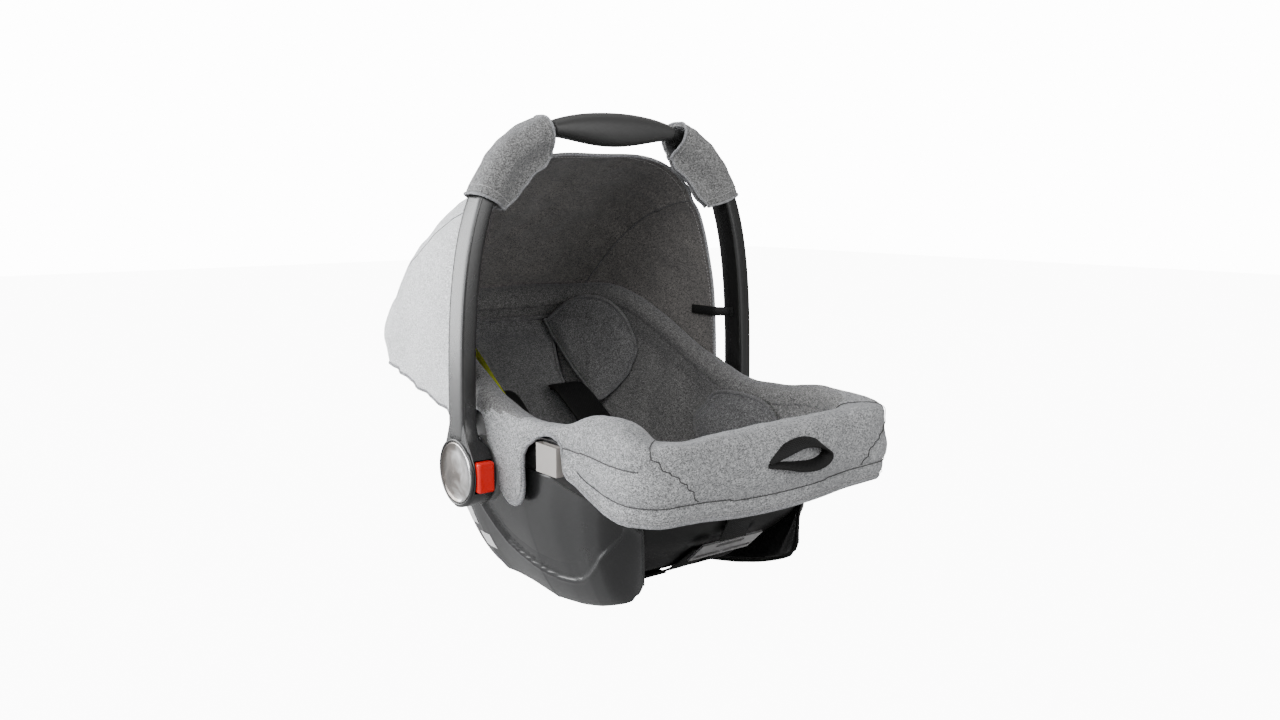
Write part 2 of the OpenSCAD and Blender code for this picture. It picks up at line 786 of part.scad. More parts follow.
module left_shoulder_cover() mirror([1, 0, 0]) shoulder_cover(strap_rise[0]);
module right_shoulder_cover() shoulder_cover(strap_rise[1]);

module right_tongue() color(steel) at_buckle()
  translate([0, 1.2, buckle_size.z / 2]) rotate([90, 0, 0]) linear_extrude(2.4) difference() {
    polygon([[2, -22], [18, -22], [18, 1], [48, 5], [50, 21], [2, 21]]);
    translate([6, 10]) square([41, 6]);
  }
module left_tongue() mirror([1, 0, 0]) right_tongue();

module buckle_housing() color(webbing_black) at_buckle() difference() {
  cube(buckle_size, center = true);
  // slots of the two tongues
  for (s = [-1, 1]) translate([s * 10, 0, buckle_size.z / 2 - 10]) cube([17, 3.2, 30], center = true);
  // well of the button
  translate([-12.4, -buckle_size.y / 2 - 1, -13.4]) cube([24.8, 7.4, 24.8]);
}

module buckle_button() color(signal_red) at_buckle()
  translate([-12, -buckle_size.y / 2 - 0.8, -13]) cube([24, 3.2, 24]);

module buckle_spring() color(steel) at_buckle()
  loft([
    for (ring = spring_rings(5, 0.3, 2.9 - buckle_size.y / 2, 5.3 - buckle_size.y / 2, 2, 10, 6))
      [for (p = ring) [p.z, p.x, p.y - 1]]
  ]);

module crotch_strap() color(webbing_black)
  loft(band(
    curve([
      [0, crotch_y - 22, 10.5], [0, crotch_y - 5, 11], [0, crotch_y, 18], [0, crotch_y, 40],
      [0, crotch_y - 3, 47], [0, buckle_at.y - 7, buckle_at.z - 24.5]
    ], 3),
    [1, 0, 0], web_w - 4, web_t
  ));

module crotch_pad() color(heather_dark) translate([0, crotch_y - 4, 49.7]) difference() {
  cube([54, 22, 11], center = true);
  cube([web_w, 17.5, 20], center = true);
}

front_lean = -43;
yoke_size = [88, 34, 2.5];
module harness_yoke() color(steel)
  translate(bucket_in(270, 0.5, -8.5)) rotate([front_lean, 0, 0]) difference() {
    cube(yoke_size, center = true);
    for (s = [-1, 1]) translate([s * web_x, 9, 0]) cube([web_w + 3, 7, 5], center = true);
    translate([0, -9, 0]) cube([web_w + 3, 7, 5], center = true);
  }

pull_z = 188.6;
lever_pin = [0, -299, 198.6];
module adjuster_strap() color(webbing_black)
  loft(band(
    curve([
      bucket_in(270, 0.46, -9), bucket_in(270, 0.42, -5), bucket_in(270, 0.37, -3),
      bucket_in(270, yoke_row, 12), bucket_in(270, 0.34, 29), bucket_in(270, 0.25, 31),
      [0, -284, 178], [0, -292, 186], [0, -303, pull_z], [0, -317, pull_z], [0, -327, pull_z]
    ]),
    [1, 0, 0], web_w, web_t
  ));

module adjuster_base() color(steel) difference() {
  union() {
    translate([-25, -314, pull_z - 5.6]) cube([50, 14, 3]);
    for (s = [-1, 1]) translate([s * 23.2 - 1.8, -314, pull_z - 5.6]) cube([3.6, 26, 23]);
  }
  translate(lever_pin + [-30, 0, 0]) rotate([0, 90, 0]) cylinder(r = 2, h = 60);
}

module adjuster_pin() color(steel)
  translate(lever_pin + [-25.4, 0, 0]) rotate([0, 90, 0]) cylinder(r = 2, h = 50.8);

module adjuster_lever() color(steel) difference() {
  union() {
    translate(lever_pin + [-21, 0, 0]) rotate([0, 90, 0]) cylinder(r = 5.5, h = 42);
    translate(lever_pin + [-19, 1, 1.5]) cube([38, 21, 3]);
  }
  translate(lever_pin + [-22, 0, 0]) rotate([0, 90, 0]) cylinder(r = 2.06, h = 44);
}

// Tape loop that hangs over the front: it leaves the slot, widens and comes back.
loop_path = [[-26, 6], [-6, 16], [20, 24], [46, 18], [64, 2], [58, -9], [38, -12], [10, -9], [-12, -3]];
module pull_loop() color(webbing_black) translate([0, -328.5, front_slot_z]) rotate([90, 0, 0])
  linear_extrude(2.2) difference() {
    offset(r = 4) polygon(loop_path);
    offset(delta = -5) polygon(loop_path);
  }

// ---- belt guides ----
module belt_guide(side) mirror([side < 0 ? 1 : 0, 0, 0]) color(plastic_grey) difference() {
  translate([178.9, -186, 176]) cube([8.8, 38, 31]);
  translate([180.3, -183, 170]) cube([5.4, 32, 44]);
}
module left_belt_guide() belt_guide(-1);
module right_belt_guide() belt_guide(1);

module rear_belt_guide() color(plastic_grey)
  translate(bucket_in(90, 0.42, -1)) rotate([52, 0, 0]) difference() {
    translate([-35, -14, -14]) cube([70, 28, 14]);
    translate([-30, -20, -10]) cube([60, 40, 6.5]);
  }

seat_shell();
left_rocker_panel();
right_rocker_panel();
foam_liner();
left_hub_socket();
right_hub_socket();
pivot_studs();
stud_nuts();
socket_screws();
left_belt_guide();
right_belt_guide();
rear_belt_guide();
rim_cover();
seat_liner();
infant_insert();
left_head_pad();
right_head_pad();
left_hip_pad();
right_hip_pad();
left_shoulder_cover();
right_shoulder_cover();
left_harness_webbing();
right_harness_webbing();
left_tongue();
right_tongue();
crotch_strap();
crotch_pad();
buckle_housing();
buckle_button();
buckle_spring();
harness_yoke();
adjuster_strap();
pull_loop();
adjuster_base();
adjuster_lever();
adjuster_pin();
canopy();
handle_frame();
handle_grip();
left_hub_housing();
right_hub_housing();
left_hub_cap();
right_hub_cap();
left_handle_pad();
right_handle_pad();
canopy_tabs();
left_release_button();
right_release_button();
left_lock_gear();
right_lock_gear();
left_lock_spring();
right_lock_spring();
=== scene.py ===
import math

import bpy
import numpy as np
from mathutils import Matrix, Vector, noise


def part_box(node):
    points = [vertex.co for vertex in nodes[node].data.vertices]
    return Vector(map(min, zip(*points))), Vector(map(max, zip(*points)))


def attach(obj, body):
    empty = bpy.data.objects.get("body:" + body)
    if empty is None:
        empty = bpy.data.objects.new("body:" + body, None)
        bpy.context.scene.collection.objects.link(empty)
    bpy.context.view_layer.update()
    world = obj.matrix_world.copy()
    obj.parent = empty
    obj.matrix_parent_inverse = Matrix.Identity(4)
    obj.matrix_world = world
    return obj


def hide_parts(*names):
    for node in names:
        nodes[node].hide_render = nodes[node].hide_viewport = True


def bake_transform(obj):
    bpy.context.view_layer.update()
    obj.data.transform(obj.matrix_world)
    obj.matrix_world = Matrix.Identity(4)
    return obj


# Infant car seat. Everything is worked out in millimetres in the frame's own axes and turned
# into metres when a mesh is made. Foot end -Y, head end +Y, left -X.

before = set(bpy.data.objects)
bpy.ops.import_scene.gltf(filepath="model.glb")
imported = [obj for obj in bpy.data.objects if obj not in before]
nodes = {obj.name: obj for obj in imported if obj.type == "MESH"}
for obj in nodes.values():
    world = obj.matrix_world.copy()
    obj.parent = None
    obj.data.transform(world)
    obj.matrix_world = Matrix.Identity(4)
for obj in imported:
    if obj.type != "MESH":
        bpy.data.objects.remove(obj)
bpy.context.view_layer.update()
MM = 0.001


# ---------------------------------------------------------------- small functions
def mix(a, b, t):
    return a + (b - a) * t


def smooth(t):
    t = np.clip(t, 0.0, 1.0)
    return t * t * (3 - 2 * t)


def lookup(x, table, column=1):
    rows = np.array(table, float)
    return np.interp(x, rows[:, 0], rows[:, column])


def bell(x, width, power=2):
    """1 at x = 0 and falling to nothing a few widths away."""
    return np.exp(-((x / width) ** power))


def spow(v, e):
    return np.sign(v) * np.abs(v) ** e


def unit(v):
    return v / np.maximum(np.linalg.norm(v, axis=-1, keepdims=True), 1e-9)


def curve(points, per=10):
    """Catmull-Rom curve through given points."""
    p = np.array(points, float)
    last = len(p) - 1
    out = []
    for i in range(last):
        a, b, c, d = p[max(0, i - 1)], p[i], p[i + 1], p[min(last, i + 2)]
        for t in np.arange(per) / per:
            square = (2 * a - 5 * b + 4 * c - d) * t * t
            out.append(0.5 * (2 * b + (c - a) * t + square + (3 * b - a - 3 * c + d) * t**3))
    out.append(p[-1])
    return np.array(out)


def box_mm(name):
    """Low and high corner of a CAD node, in millimetres."""
    return np.array(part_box(name)) / MM


def mirror_x(points):
    return np.array(points, float) * np.array([-1.0, 1.0, 1.0])


# ---------------------------------------------------------------- meshes
def make(name, verts, faces, mat, body, replaces=(), slot=None, uvs=None, sub=0, mats=None):
    """A smooth mesh object from points in millimetres, riding on a body."""
    mesh = bpy.data.meshes.new(name)
    mesh.from_pydata((np.array(verts, float) * MM).tolist(), [], faces)
    if uvs is not None:
        layer = mesh.uv_layers.new(name="UVMap")
        uv = np.array(uvs, float) * MM
        loops = np.zeros(len(mesh.loops), int)
        mesh.loops.foreach_get("vertex_index", loops)
        layer.data.foreach_set("uv", uv[loops].ravel())
    mesh.update()
    mesh.polygons.foreach_set("use_smooth", [True] * len(mesh.polygons))
    obj = bpy.data.objects.new(name, mesh)
    bpy.context.scene.collection.objects.link(obj)
    for m in mats or [mat]:
        mesh.materials.append(m)
    if sub:
        modifier = obj.modifiers.new("subdivision", "SUBSURF")
        modifier.levels = modifier.render_levels = sub
        settle(obj)
    if body:
        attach(obj, body)
    if replaces:
        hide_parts(*replaces)
    return obj


def settle(obj):
    """Applies every modifier to the object's mesh."""
    bpy.context.view_layer.update()
    graph = bpy.context.evaluated_depsgraph_get()
    mesh = bpy.data.meshes.new_from_object(obj.evaluated_get(graph))
    obj.modifiers.clear()
    obj.data = mesh


def grid_faces(n, m, wrap_rows=False, wrap_cols=False, first=0, flip=False):
    faces = []
    for i in range(n if wrap_rows else n - 1):
        for j in range(m if wrap_cols else m - 1):
            a = first + i * m + j
            b = first + i * m + (j + 1) % m
            c = first + (i + 1) % n * m + (j + 1) % m
            d = first + (i + 1) % n * m + j
            faces.append((a, d, c, b) if flip else (a, b, c, d))
    return faces


def lengths(points, axis):
    """Arc length along one axis of a grid, for a weave that keeps its scale."""
    step = np.linalg.norm(np.diff(points, axis=axis), axis=2)
    total = np.cumsum(step, axis=axis)
    zero = np.zeros_like(np.take(total, [0], axis=axis))
    return np.concatenate([zero, total], axis=axis)


def grid_uv(p):
    """Weave coordinates of a grid: arc length both ways."""
    return np.stack([lengths(p, 1), lengths(p, 0)], axis=2).reshape(-1, 2)


def grid(name, p, mat, body, wrap_rows=False, wrap_cols=False, flip=False, caps=False, **more):
    n, m = p.shape[:2]
    faces = grid_faces(n, m, wrap_rows, wrap_cols, flip=flip)
    if caps:
        first, last = list(range(m)), list(range((n - 1) * m, n * m))
        faces += [tuple(first if flip else first[::-1]), tuple(last[::-1] if flip else last)]
    return make(name, p.reshape(-1, 3), faces, mat, body, uvs=grid_uv(p), **more)


def slab(name, outer, inner, mat, body, flip=False, mats=None, **more):
    """A sheet between two grids, closed round its edges."""
    n, m = outer.shape[:2]
    s = n * m
    faces = grid_faces(n, m, flip=flip)
    inside = grid_faces(n, m, first=s, flip=not flip)
    edge = [(0, j) for j in range(m)] + [(i, m - 1) for i in range(1, n)]
    edge += [(n - 1, j) for j in range(m - 2, -1, -1)] + [(i, 0) for i in range(n - 2, 0, -1)]
    rim = []
    for (i, j), (k, l) in zip(edge, edge[1:] + edge[:1]):
        a, b = i * m + j, k * m + l
        rim.append((a, a + s, b + s, b) if not flip else (b, b + s, a + s, a))
    verts = np.concatenate([outer.reshape(-1, 3), inner.reshape(-1, 3)])
    uvs = np.concatenate([grid_uv(outer), grid_uv(inner)])
    obj = make(name, verts, faces + inside + rim, mat, body, uvs=uvs, mats=mats, **more)
    if mats:
        index = [0] * len(faces) + [1] * len(inside) + [0] * len(rim)
        if len(obj.data.polygons) == len(index):
            obj.data.polygons.foreach_set("material_index", index)
    return obj


def frames_along(path, closed=False, side=None):
    """Tangent, side and normal at each point of a path, kept from twisting."""
    p = np.array(path, float)
    n = len(p)
    if closed:
        tangent = unit(np.roll(p, -1, 0) - np.roll(p, 1, 0))
    else:
        tangent = unit(np.gradient(p, axis=0))
    sides = np.zeros_like(p)
    last = np.array(side if side is not None else (0.0, 0.0, 1.0), float)
    if side is None and abs(tangent[0] @ last) > 0.9:
        last = np.array([1.0, 0.0, 0.0])
    for i in range(n):
        s = np.array(side, float) if side is not None else last
        s = s - (s @ tangent[i]) * tangent[i]
        s = s / max(np.linalg.norm(s), 1e-9)
        sides[i] = s
        last = s
    return tangent, sides, np.cross(sides, tangent)


def tube_grid(path, r, sides=8, closed=False):
    p = np.array(path, float)
    _, s, f = frames_along(p, closed)
    q = np.arange(sides) * 2 * math.pi / sides
    radius = np.broadcast_to(np.asarray(r, float), (len(p),))
    return (
        p[:, None]
        + s[:, None] * (np.cos(q)[None, :, None] * radius[:, None, None])
        + f[:, None] * (np.sin(q)[None, :, None] * radius[:, None, None])
    )


def tube(name, path, r, mat, body, sides=8, closed=False, **more):
    g = tube_grid(path, r, sides, closed)
    return grid(name, g, mat, body, wrap_rows=closed, wrap_cols=True, caps=not closed, **more)


def tubes(name, paths, r, mat, body, **more):
    """Many thin tubes in one object, such as a row of stitches."""
    verts, faces, uvs = [], [], []
    for path in paths:
        g = tube_grid(path, r, 6)
        n, m = g.shape[:2]
        first = len(verts)
        faces += grid_faces(n, m, wrap_cols=True, first=first)
        faces.append(tuple(range(first + m - 1, first - 1, -1)))
        faces.append(tuple(range(first + (n - 1) * m, first + n * m)))
        verts += g.reshape(-1, 3).tolist()
        uvs += grid_uv(g).tolist()
    return make(name, verts, faces, mat, body, uvs=uvs, **more)


def dashes(path, on=3.2, off=1.6):
    """Splits a path into stitches."""
    p = np.array(path, float)
    s = np.concatenate([[0], np.cumsum(np.linalg.norm(np.diff(p, axis=0), axis=1))])
    out = []
    at = 0.0
    while at + on < s[-1]:
        t = np.linspace(at, at + on, 3)
        out.append(np.stack([np.interp(t, s, p[:, k]) for k in range(3)], axis=1))
        at += on + off
    return out


def ribbon_grid(path, side, width, thick, edge=0.5):
    """Sections of a flat band with round edges."""
    p = np.array(path, float)
    _, s, f = frames_along(p, side=side)
    w, h = width / 2, thick / 2
    section = [(w - edge, h), (-(w - edge), h), (-w, 0), (-(w - edge), -h), (w - edge, -h), (w, 0)]
    return np.stack([p + s * a + f * b for a, b in section], axis=1)


def wrinkle(points, scale, height, seed=0.0, stretch=(1, 1, 1)):
    """Soft folds: smooth noise at each point, in millimetres."""
    flat = points.reshape(-1, 3)
    out = np.empty(len(flat))
    for i, (x, y, z) in enumerate(flat):
        at = Vector((x * stretch[0] / scale + seed, y * stretch[1] / scale, z * stretch[2] / scale))
        out[i] = noise.noise(at)
    return (out * height).reshape(points.shape[:-1])


def normals_of(p, wrap_cols=False):
    if wrap_cols:
        da = np.roll(p, -1, 1) - np.roll(p, 1, 1)
    else:
        da = np.gradient(p, axis=1)
    db = np.gradient(p, axis=0)
    return unit(np.cross(da, db))


def cloth(obj, pins, pressure=4.0, cap=8.0, frames=20, stiff=12.0, bend=0.4):
    """Swells a piece as cloth and keeps each point within cap millimetres of its start."""
    scene = bpy.context.scene
    start = np.zeros(len(obj.data.vertices) * 3)
    obj.data.vertices.foreach_get("co", start)
    group = obj.vertex_groups.new(name="pins")
    for index, weight in enumerate(pins):
        if weight > 0:
            group.add([index], float(weight), "REPLACE")
    modifier = obj.modifiers.new("cloth", "CLOTH")
    settings = modifier.settings
    settings.quality = 6
    settings.mass = 0.3
    settings.tension_stiffness = settings.compression_stiffness = stiff
    settings.shear_stiffness = stiff / 2
    settings.bending_stiffness = bend
    settings.use_pressure = True
    settings.uniform_pressure_force = pressure
    settings.vertex_group_mass = "pins"
    settings.effector_weights.gravity = 0
    modifier.collision_settings.use_collision = False
    modifier.point_cache.frame_start = 1
    modifier.point_cache.frame_end = frames
    for number in range(1, frames + 1):
        scene.frame_set(number)
    graph = bpy.context.evaluated_depsgraph_get()
    end = np.zeros_like(start)
    obj.evaluated_get(graph).data.vertices.foreach_get("co", end)
    move = (end - start).reshape(-1, 3)
    size = np.linalg.norm(move, axis=1, keepdims=True)
    limit = cap * MM
    move *= limit * np.tanh(size / limit) / np.maximum(size, 1e-9)
    obj.modifiers.clear()
    obj.vertex_groups.clear()
    obj.data.vertices.foreach_set("co", start + move.ravel())
    obj.data.update()
    scene.frame_set(1)


# ---------------------------------------------------------------- materials
def material(name):
    mat = bpy.data.materials.new(name)
    mat.use_nodes = True
    tree = mat.node_tree
    tree.nodes.clear()
    out = tree.nodes.new("ShaderNodeOutputMaterial")
    shader = tree.nodes.new("ShaderNodeBsdfPrincipled")
    tree.links.new(shader.outputs[0], out.inputs[0])
    return mat, tree, shader


def node(tree, kind, inputs=None, **settings):
    n = tree.nodes.new("ShaderNode" + kind)
    for key, value in settings.items():
        setattr(n, key, value)
    for key, value in (inputs or {}).items():
        if isinstance(value, bpy.types.NodeSocket):
            tree.links.new(value, n.inputs[key])
        else:
            n.inputs[key].default_value = value
    return n


def ramp(tree, value, stops):
    n = node(tree, "ValToRGB", {"Fac": value})
    n.color_ramp.elements[0].position, n.color_ramp.elements[0].color = stops[0][0], (*stops[0][1], 1)
    n.color_ramp.elements[1].position, n.color_ramp.elements[1].color = stops[-1][0], (*stops[-1][1], 1)
    for at, colour in stops[1:-1]:
        n.color_ramp.elements.new(at).color = (*colour, 1)
    return n.outputs["Color"]


def grey(v, tint=(1, 1, 1)):
    return tuple(v * t for t in tint)


def remap(tree, value, source, target=(0.0, 1.0)):
    """Maps a value from one range to another, held at both ends."""
    ends = zip(("From Min", "From Max", "To Min", "To Max"), (*source, *target))
    return node(tree, "MapRange", {"Value": value, **dict(ends)}).outputs[0]


def maths(tree, operation, a, b):
    return node(tree, "Math", {0: a, 1: b}, operation=operation).outputs[0]


def grain_noise(tree, coords, scale, detail, **more):
    return node(tree, "TexNoise", {"Vector": coords, "Scale": scale, "Detail": detail, **more}).outputs[0]


def finish_material(tree, shader, colour, strength, distance, height, **values):
    """Links colour and relief, and sets the shader's constant values or links its inputs."""
    bump = node(tree, "Bump", {"Strength": strength, "Distance": distance, "Height": height})
    tree.links.new(colour, shader.inputs["Base Color"])
    tree.links.new(bump.outputs[0], shader.inputs["Normal"])
    for key, value in values.items():
        socket = shader.inputs[key.replace("_", " ")]
        if isinstance(value, bpy.types.NodeSocket):
            tree.links.new(value, socket)
        else:
            socket.default_value = value


def heather(name, dark, light, tint=(1, 1, 1), yarn=0.62, painted_foot_light=1.0):
    """A melange weave: short yarns of mixed greys, with a crossing thread relief."""
    mat, tree, shader = material(name)
    coords = node(tree, "TexCoord").outputs["Object"]
    per_m = 1000 / yarn
    threads = []
    for across, along in ((1.0, 0.34), (0.34, 1.0)):
        size = (per_m * across, per_m * along, per_m * 0.6)
        scaled = node(tree, "Mapping", {"Vector": coords, "Scale": size}).outputs[0]
        threads.append(
            node(tree, "TexVoronoi", {"Vector": scaled, "Scale": 1.0, "Randomness": 0.85}).outputs
        )
    fine, broad = grain_noise(tree, coords, 700.0, 3.0), grain_noise(tree, coords, 11.0, 2.0)
    first = node(tree, "SeparateColor", {"Color": threads[0]["Color"]}).outputs[0]
    second = node(tree, "SeparateColor", {"Color": threads[1]["Color"]}).outputs[1]
    total = maths(tree, "ADD", maths(tree, "ADD", first, second), maths(tree, "MULTIPLY", fine, 0.7))
    melange = remap(tree, total, (0.55, 2.2))
    middle = (dark + light) / 2
    greys = (
        (0.0, dark * 0.75), (0.35, mix(dark, middle, 0.55)), (0.62, middle * 1.04), (1.0, light * 1.15)
    )
    colour = ramp(tree, melange, [(at, grey(value, tint)) for at, value in greys])
    patch = remap(tree, broad, (0.3, 0.7), (0.93, 1.06))
    multiply = {"Fac": 1.0, "Color1": colour, "Color2": patch}
    colour = node(tree, "MixRGB", multiply, blend_type="MULTIPLY").outputs[0]
    if painted_foot_light != 1.0:
        # painted light: paler towards the foot end, where the fabric is lit more strongly
        y = node(tree, "SeparateXYZ", {"Vector": coords}).outputs[1]
        gain = remap(tree, y, (-0.05, -0.24), (1.0, painted_foot_light))
        colour = node(tree, "VectorMath", {0: colour, 3: gain}, operation="SCALE").outputs[0]
    height = maths(tree, "MINIMUM", threads[0]["Distance"], threads[1]["Distance"])
    height = maths(tree, "SUBTRACT", 1.0, height)
    weave = node(tree, "Bump", {"Strength": 0.3, "Distance": 0.0006, "Height": height}).outputs[0]
    soft = {"Strength": 0.25, "Distance": 0.0012, "Height": fine, "Normal": weave}
    tree.links.new(colour, shader.inputs["Base Color"])
    tree.links.new(node(tree, "Bump", soft).outputs[0], shader.inputs["Normal"])
    tree.links.new(remap(tree, melange, (0.0, 1.0), (0.82, 0.97)), shader.inputs["Roughness"])
    shader.inputs["Specular IOR Level"].default_value = 0.25
    shader.inputs["Sheen Weight"].default_value = 0.12
    shader.inputs["Sheen Roughness"].default_value = 0.6
    shader.inputs["Sheen Tint"].default_value = (0.9, 0.92, 1.0, 1.0)
    return mat


def webbing(name, value, rib=1.5):
    """Woven tape: ribs across, a twill along."""
    mat, tree, shader = material(name)
    coords = node(tree, "TexCoord").outputs["UV"]
    waves = []
    for direction, turns, distortion in (("Y", 6.28, 0.3), ("DIAGONAL", 5.0, 0.2)):
        shape = {"Vector": coords, "Scale": 1000 / rib / turns, "Distortion": distortion}
        waves.append(node(tree, "TexWave", shape, bands_direction=direction).outputs[1])
    total = maths(tree, "MULTIPLY", waves[0], waves[1])
    total = maths(tree, "ADD", total, grain_noise(tree, coords, 500.0, 3.0))
    colour = ramp(tree, total, [(0.2, grey(value * 0.5)), (1.4, grey(value * 1.6))])
    finish_material(tree, shader, colour, 0.6, 0.0005, total, Roughness=0.62, Specular_IOR_Level=0.18)
    return mat


def moulded(name, value, tint=(1, 1, 1), rough=0.4, grain=0.25, size=900.0, spec=0.5):
    """Moulded plastic: fine spark-eroded grain, faint blotches and rubbed patches."""
    mat, tree, shader = material(name)
    coords = node(tree, "TexCoord").outputs["Object"]
    fine = grain_noise(tree, coords, size, 3.0, Roughness=0.65)
    broad = grain_noise(tree, coords, 9.0, 4.0)
    colour = ramp(tree, broad, [(0.3, grey(value * 0.92, tint)), (0.7, grey(value * 1.08, tint))])
    rub = remap(tree, broad, (0.35, 0.75), (rough * 0.9, rough * 1.15))
    finish_material(tree, shader, colour, grain, 0.00025, fine, Roughness=rub, Specular_IOR_Level=spec)
    return mat


def metal(name, value, rough=0.25, scratches=0.2, cloudy=False):
    """Brushed metal; the cloudy kind runs from brown-black to bright across the disc, brighter towards
    the foot end.
    """
    mat, tree, shader = material(name)
    coords = node(tree, "TexCoord").outputs["Object"]
    scaled = node(tree, "Mapping", {"Vector": coords, "Scale": (900.0, 90.0, 900.0)}).outputs[0]
    lines = grain_noise(tree, scaled, 1.0, 3.0)
    colour = ramp(tree, lines, [(0.2, grey(value * 0.85)), (0.8, grey(value * 1.05))])
    if cloudy:
        wide = grain_noise(tree, coords, 30.0, 2.0, Distortion=1.5)
        y = node(tree, "SeparateXYZ", {"Vector": coords}).outputs[1]
        cloud = maths(tree, "ADD", wide, remap(tree, y, (0.01, -0.07)))
        cloud = maths(tree, "MULTIPLY", cloud, 0.5)
        cloud_stops = [(0.34, (0.05, 0.042, 0.036)), (0.5, (0.16, 0.14, 0.125)), (0.68, grey(0.62))]
        tone = ramp(tree, cloud, cloud_stops)
        colour = node(tree, "Mix", {6: colour, 7: tone, 0: 0.92}, data_type="RGBA").outputs[2]
    rub = remap(tree, lines, (0.0, 1.0), (rough * 0.8, rough * 1.3))
    finish_material(tree, shader, colour, scratches, 0.0001, lines, Metallic=1.0, Roughness=rub)
    return mat


COVER = heather("cover_heather", 0.085, 0.36, tint=(0.99, 1.0, 1.01))
PAD = heather("handle_pad_heather", 0.05, 0.24, tint=(1.0, 1.0, 0.99))
# dark lining fabric; on the right rim's crest it is painted shade, and it is paler towards the foot end
# as painted light
LINING_AND_SHADE = heather("lining_heather_and_painted_shade", 0.034, 0.150, tint=(1.01, 1.0, 0.98), painted_foot_light=1.75)
INSERT = heather("insert_heather", 0.032, 0.150)
HOOD_IN = heather("hood_lining", 0.052, 0.200, tint=(1.05, 0.99, 0.94))
HOOD_OUT = heather("hood_heather", 0.30, 0.72, tint=(0.99, 1.0, 1.01))
BINDING = heather("binding_tape", 0.10, 0.30, tint=(0.98, 0.99, 1.02), yarn=0.5)
DARK_BINDING = heather("dark_binding", 0.045, 0.13, yarn=0.5)
SEAM = webbing("seam_thread", 0.035, rib=0.7)
THREAD = webbing("stitch_thread", 0.30, rib=0.6)
WEBBING = webbing("black_webbing", 0.007)
PULL = webbing("pull_webbing", 0.004, rib=1.2)
PANEL = moulded("panel_plastic", 0.010, tint=(1.0, 1.01, 1.03), rough=0.24, grain=0.04, spec=0.36)
SHELL = moulded("shell_plastic", 0.004, rough=0.34, grain=0.3, spec=0.16)
HANDLE = moulded("handle_plastic", 0.008, rough=0.26, grain=0.15, spec=0.5)
GRIP = moulded("grip_rubber", 0.020, tint=(1.0, 1.0, 0.99), rough=0.45, grain=0.4, size=1400.0)
RED = moulded("red_plastic", 0.50, tint=(1.0, 0.012, 0.006), rough=0.24, grain=0.05, spec=0.3)
GUIDE = moulded("guide_plastic", 0.22, tint=(1.05, 0.98, 0.92), rough=0.3)
GEAR = moulded("gear_plastic", 0.10, rough=0.45)
FOAM = moulded("foam_beads", 0.75, rough=0.9, grain=0.8, size=350.0)
STEEL = metal("zinc_steel", 0.62, rough=0.3)
CHROME = metal("chrome_disc", 0.42, rough=0.10, scratches=0.04, cloudy=True)


# ---------------------------------------------------------------- camera, light, floor
def look(obj, direction):
    obj.rotation_euler = Vector(direction).to_track_quat("-Z", "Y").to_euler()


YAW, PITCH = math.radians(37.8), math.radians(8.67)
VIEW = Vector((math.sin(YAW) * math.cos(PITCH), math.cos(YAW) * math.cos(PITCH), -math.sin(PITCH)))
camera = bpy.data.objects.new("camera", bpy.data.cameras.new("camera"))
bpy.context.scene.collection.objects.link(camera)
camera.data.sensor_width = 36.0
camera.data.lens = 30.74
camera.location = (-0.788, -1.100, 0.465)
look(camera, VIEW)
bpy.context.scene.camera = camera


def lamp(name, at, target, size, power, tint=(1, 1, 1)):
    light = bpy.data.lights.new(name, "AREA")
    light.shape = "RECTANGLE"
    light.size, light.size_y = size
    light.energy = power
    light.color = tint
    obj = bpy.data.objects.new(name, light)
    bpy.context.scene.collection.objects.link(obj)
    obj.location = at
    look(obj, Vector(target) - Vector(at))


lamp("key", (-2.0, -1.5, 1.7), (0, -0.1, 0.2), (1.6, 1.6), 62)
lamp("left_rear", (-1.5, 1.6, 0.75), (-0.1, 0, 0.25), (1.5, 1.5), 85, (0.98, 0.99, 1.0))
lamp("left_wall", (-2.2, 0.3, 0.8), (0, 0, 0.3), (1.2, 1.6), 50, (0.97, 0.98, 1.0))
lamp("front", (0.5, -2.8, 0.9), (0, 0, 0.2), (2.2, 1.4), 46)
lamp("top", (0.2, 0.2, 2.8), (0, 0, 0.2), (2.2, 2.2), 14)
lamp("right_back", (2.4, 1.4, 1.0), (0, 0, 0.3), (0.8, 1.8), 22, (1.0, 0.98, 0.95))

# The studio is white to look at, and dimmer as a light, so that dark plastics stay dark.
STUDIO_WHITE, STUDIO_LIGHT = 14.0, 0.5
world = bpy.data.worlds.new("studio")
bpy.context.scene.world = world
world.use_nodes = True
world_tree = world.node_tree
seen = node(world_tree, "LightPath").outputs["Is Camera Ray"]
strength = remap(world_tree, seen, (0.0, 1.0), (STUDIO_LIGHT, STUDIO_WHITE))
world_tree.links.new(strength, world_tree.nodes["Background"].inputs[1])
world_tree.nodes["Background"].inputs[0].default_value = (1.0, 1.0, 1.0, 1.0)

floor_mat, floor_tree, floor_shader = material("pale_floor")
floor_coords = node(floor_tree, "TexCoord").outputs["Object"]
floor_noise = node(floor_tree, "TexNoise", {"Vector": floor_coords, "Scale": 3.0, "Detail": 2.0})
floor_tree.links.new(
    ramp(floor_tree, floor_noise.outputs[0], [(0.2, grey(0.44)), (0.8, grey(0.46))]),
    floor_shader.inputs["Base Color"]
)
floor_shader.inputs["Roughness"].default_value = 0.6
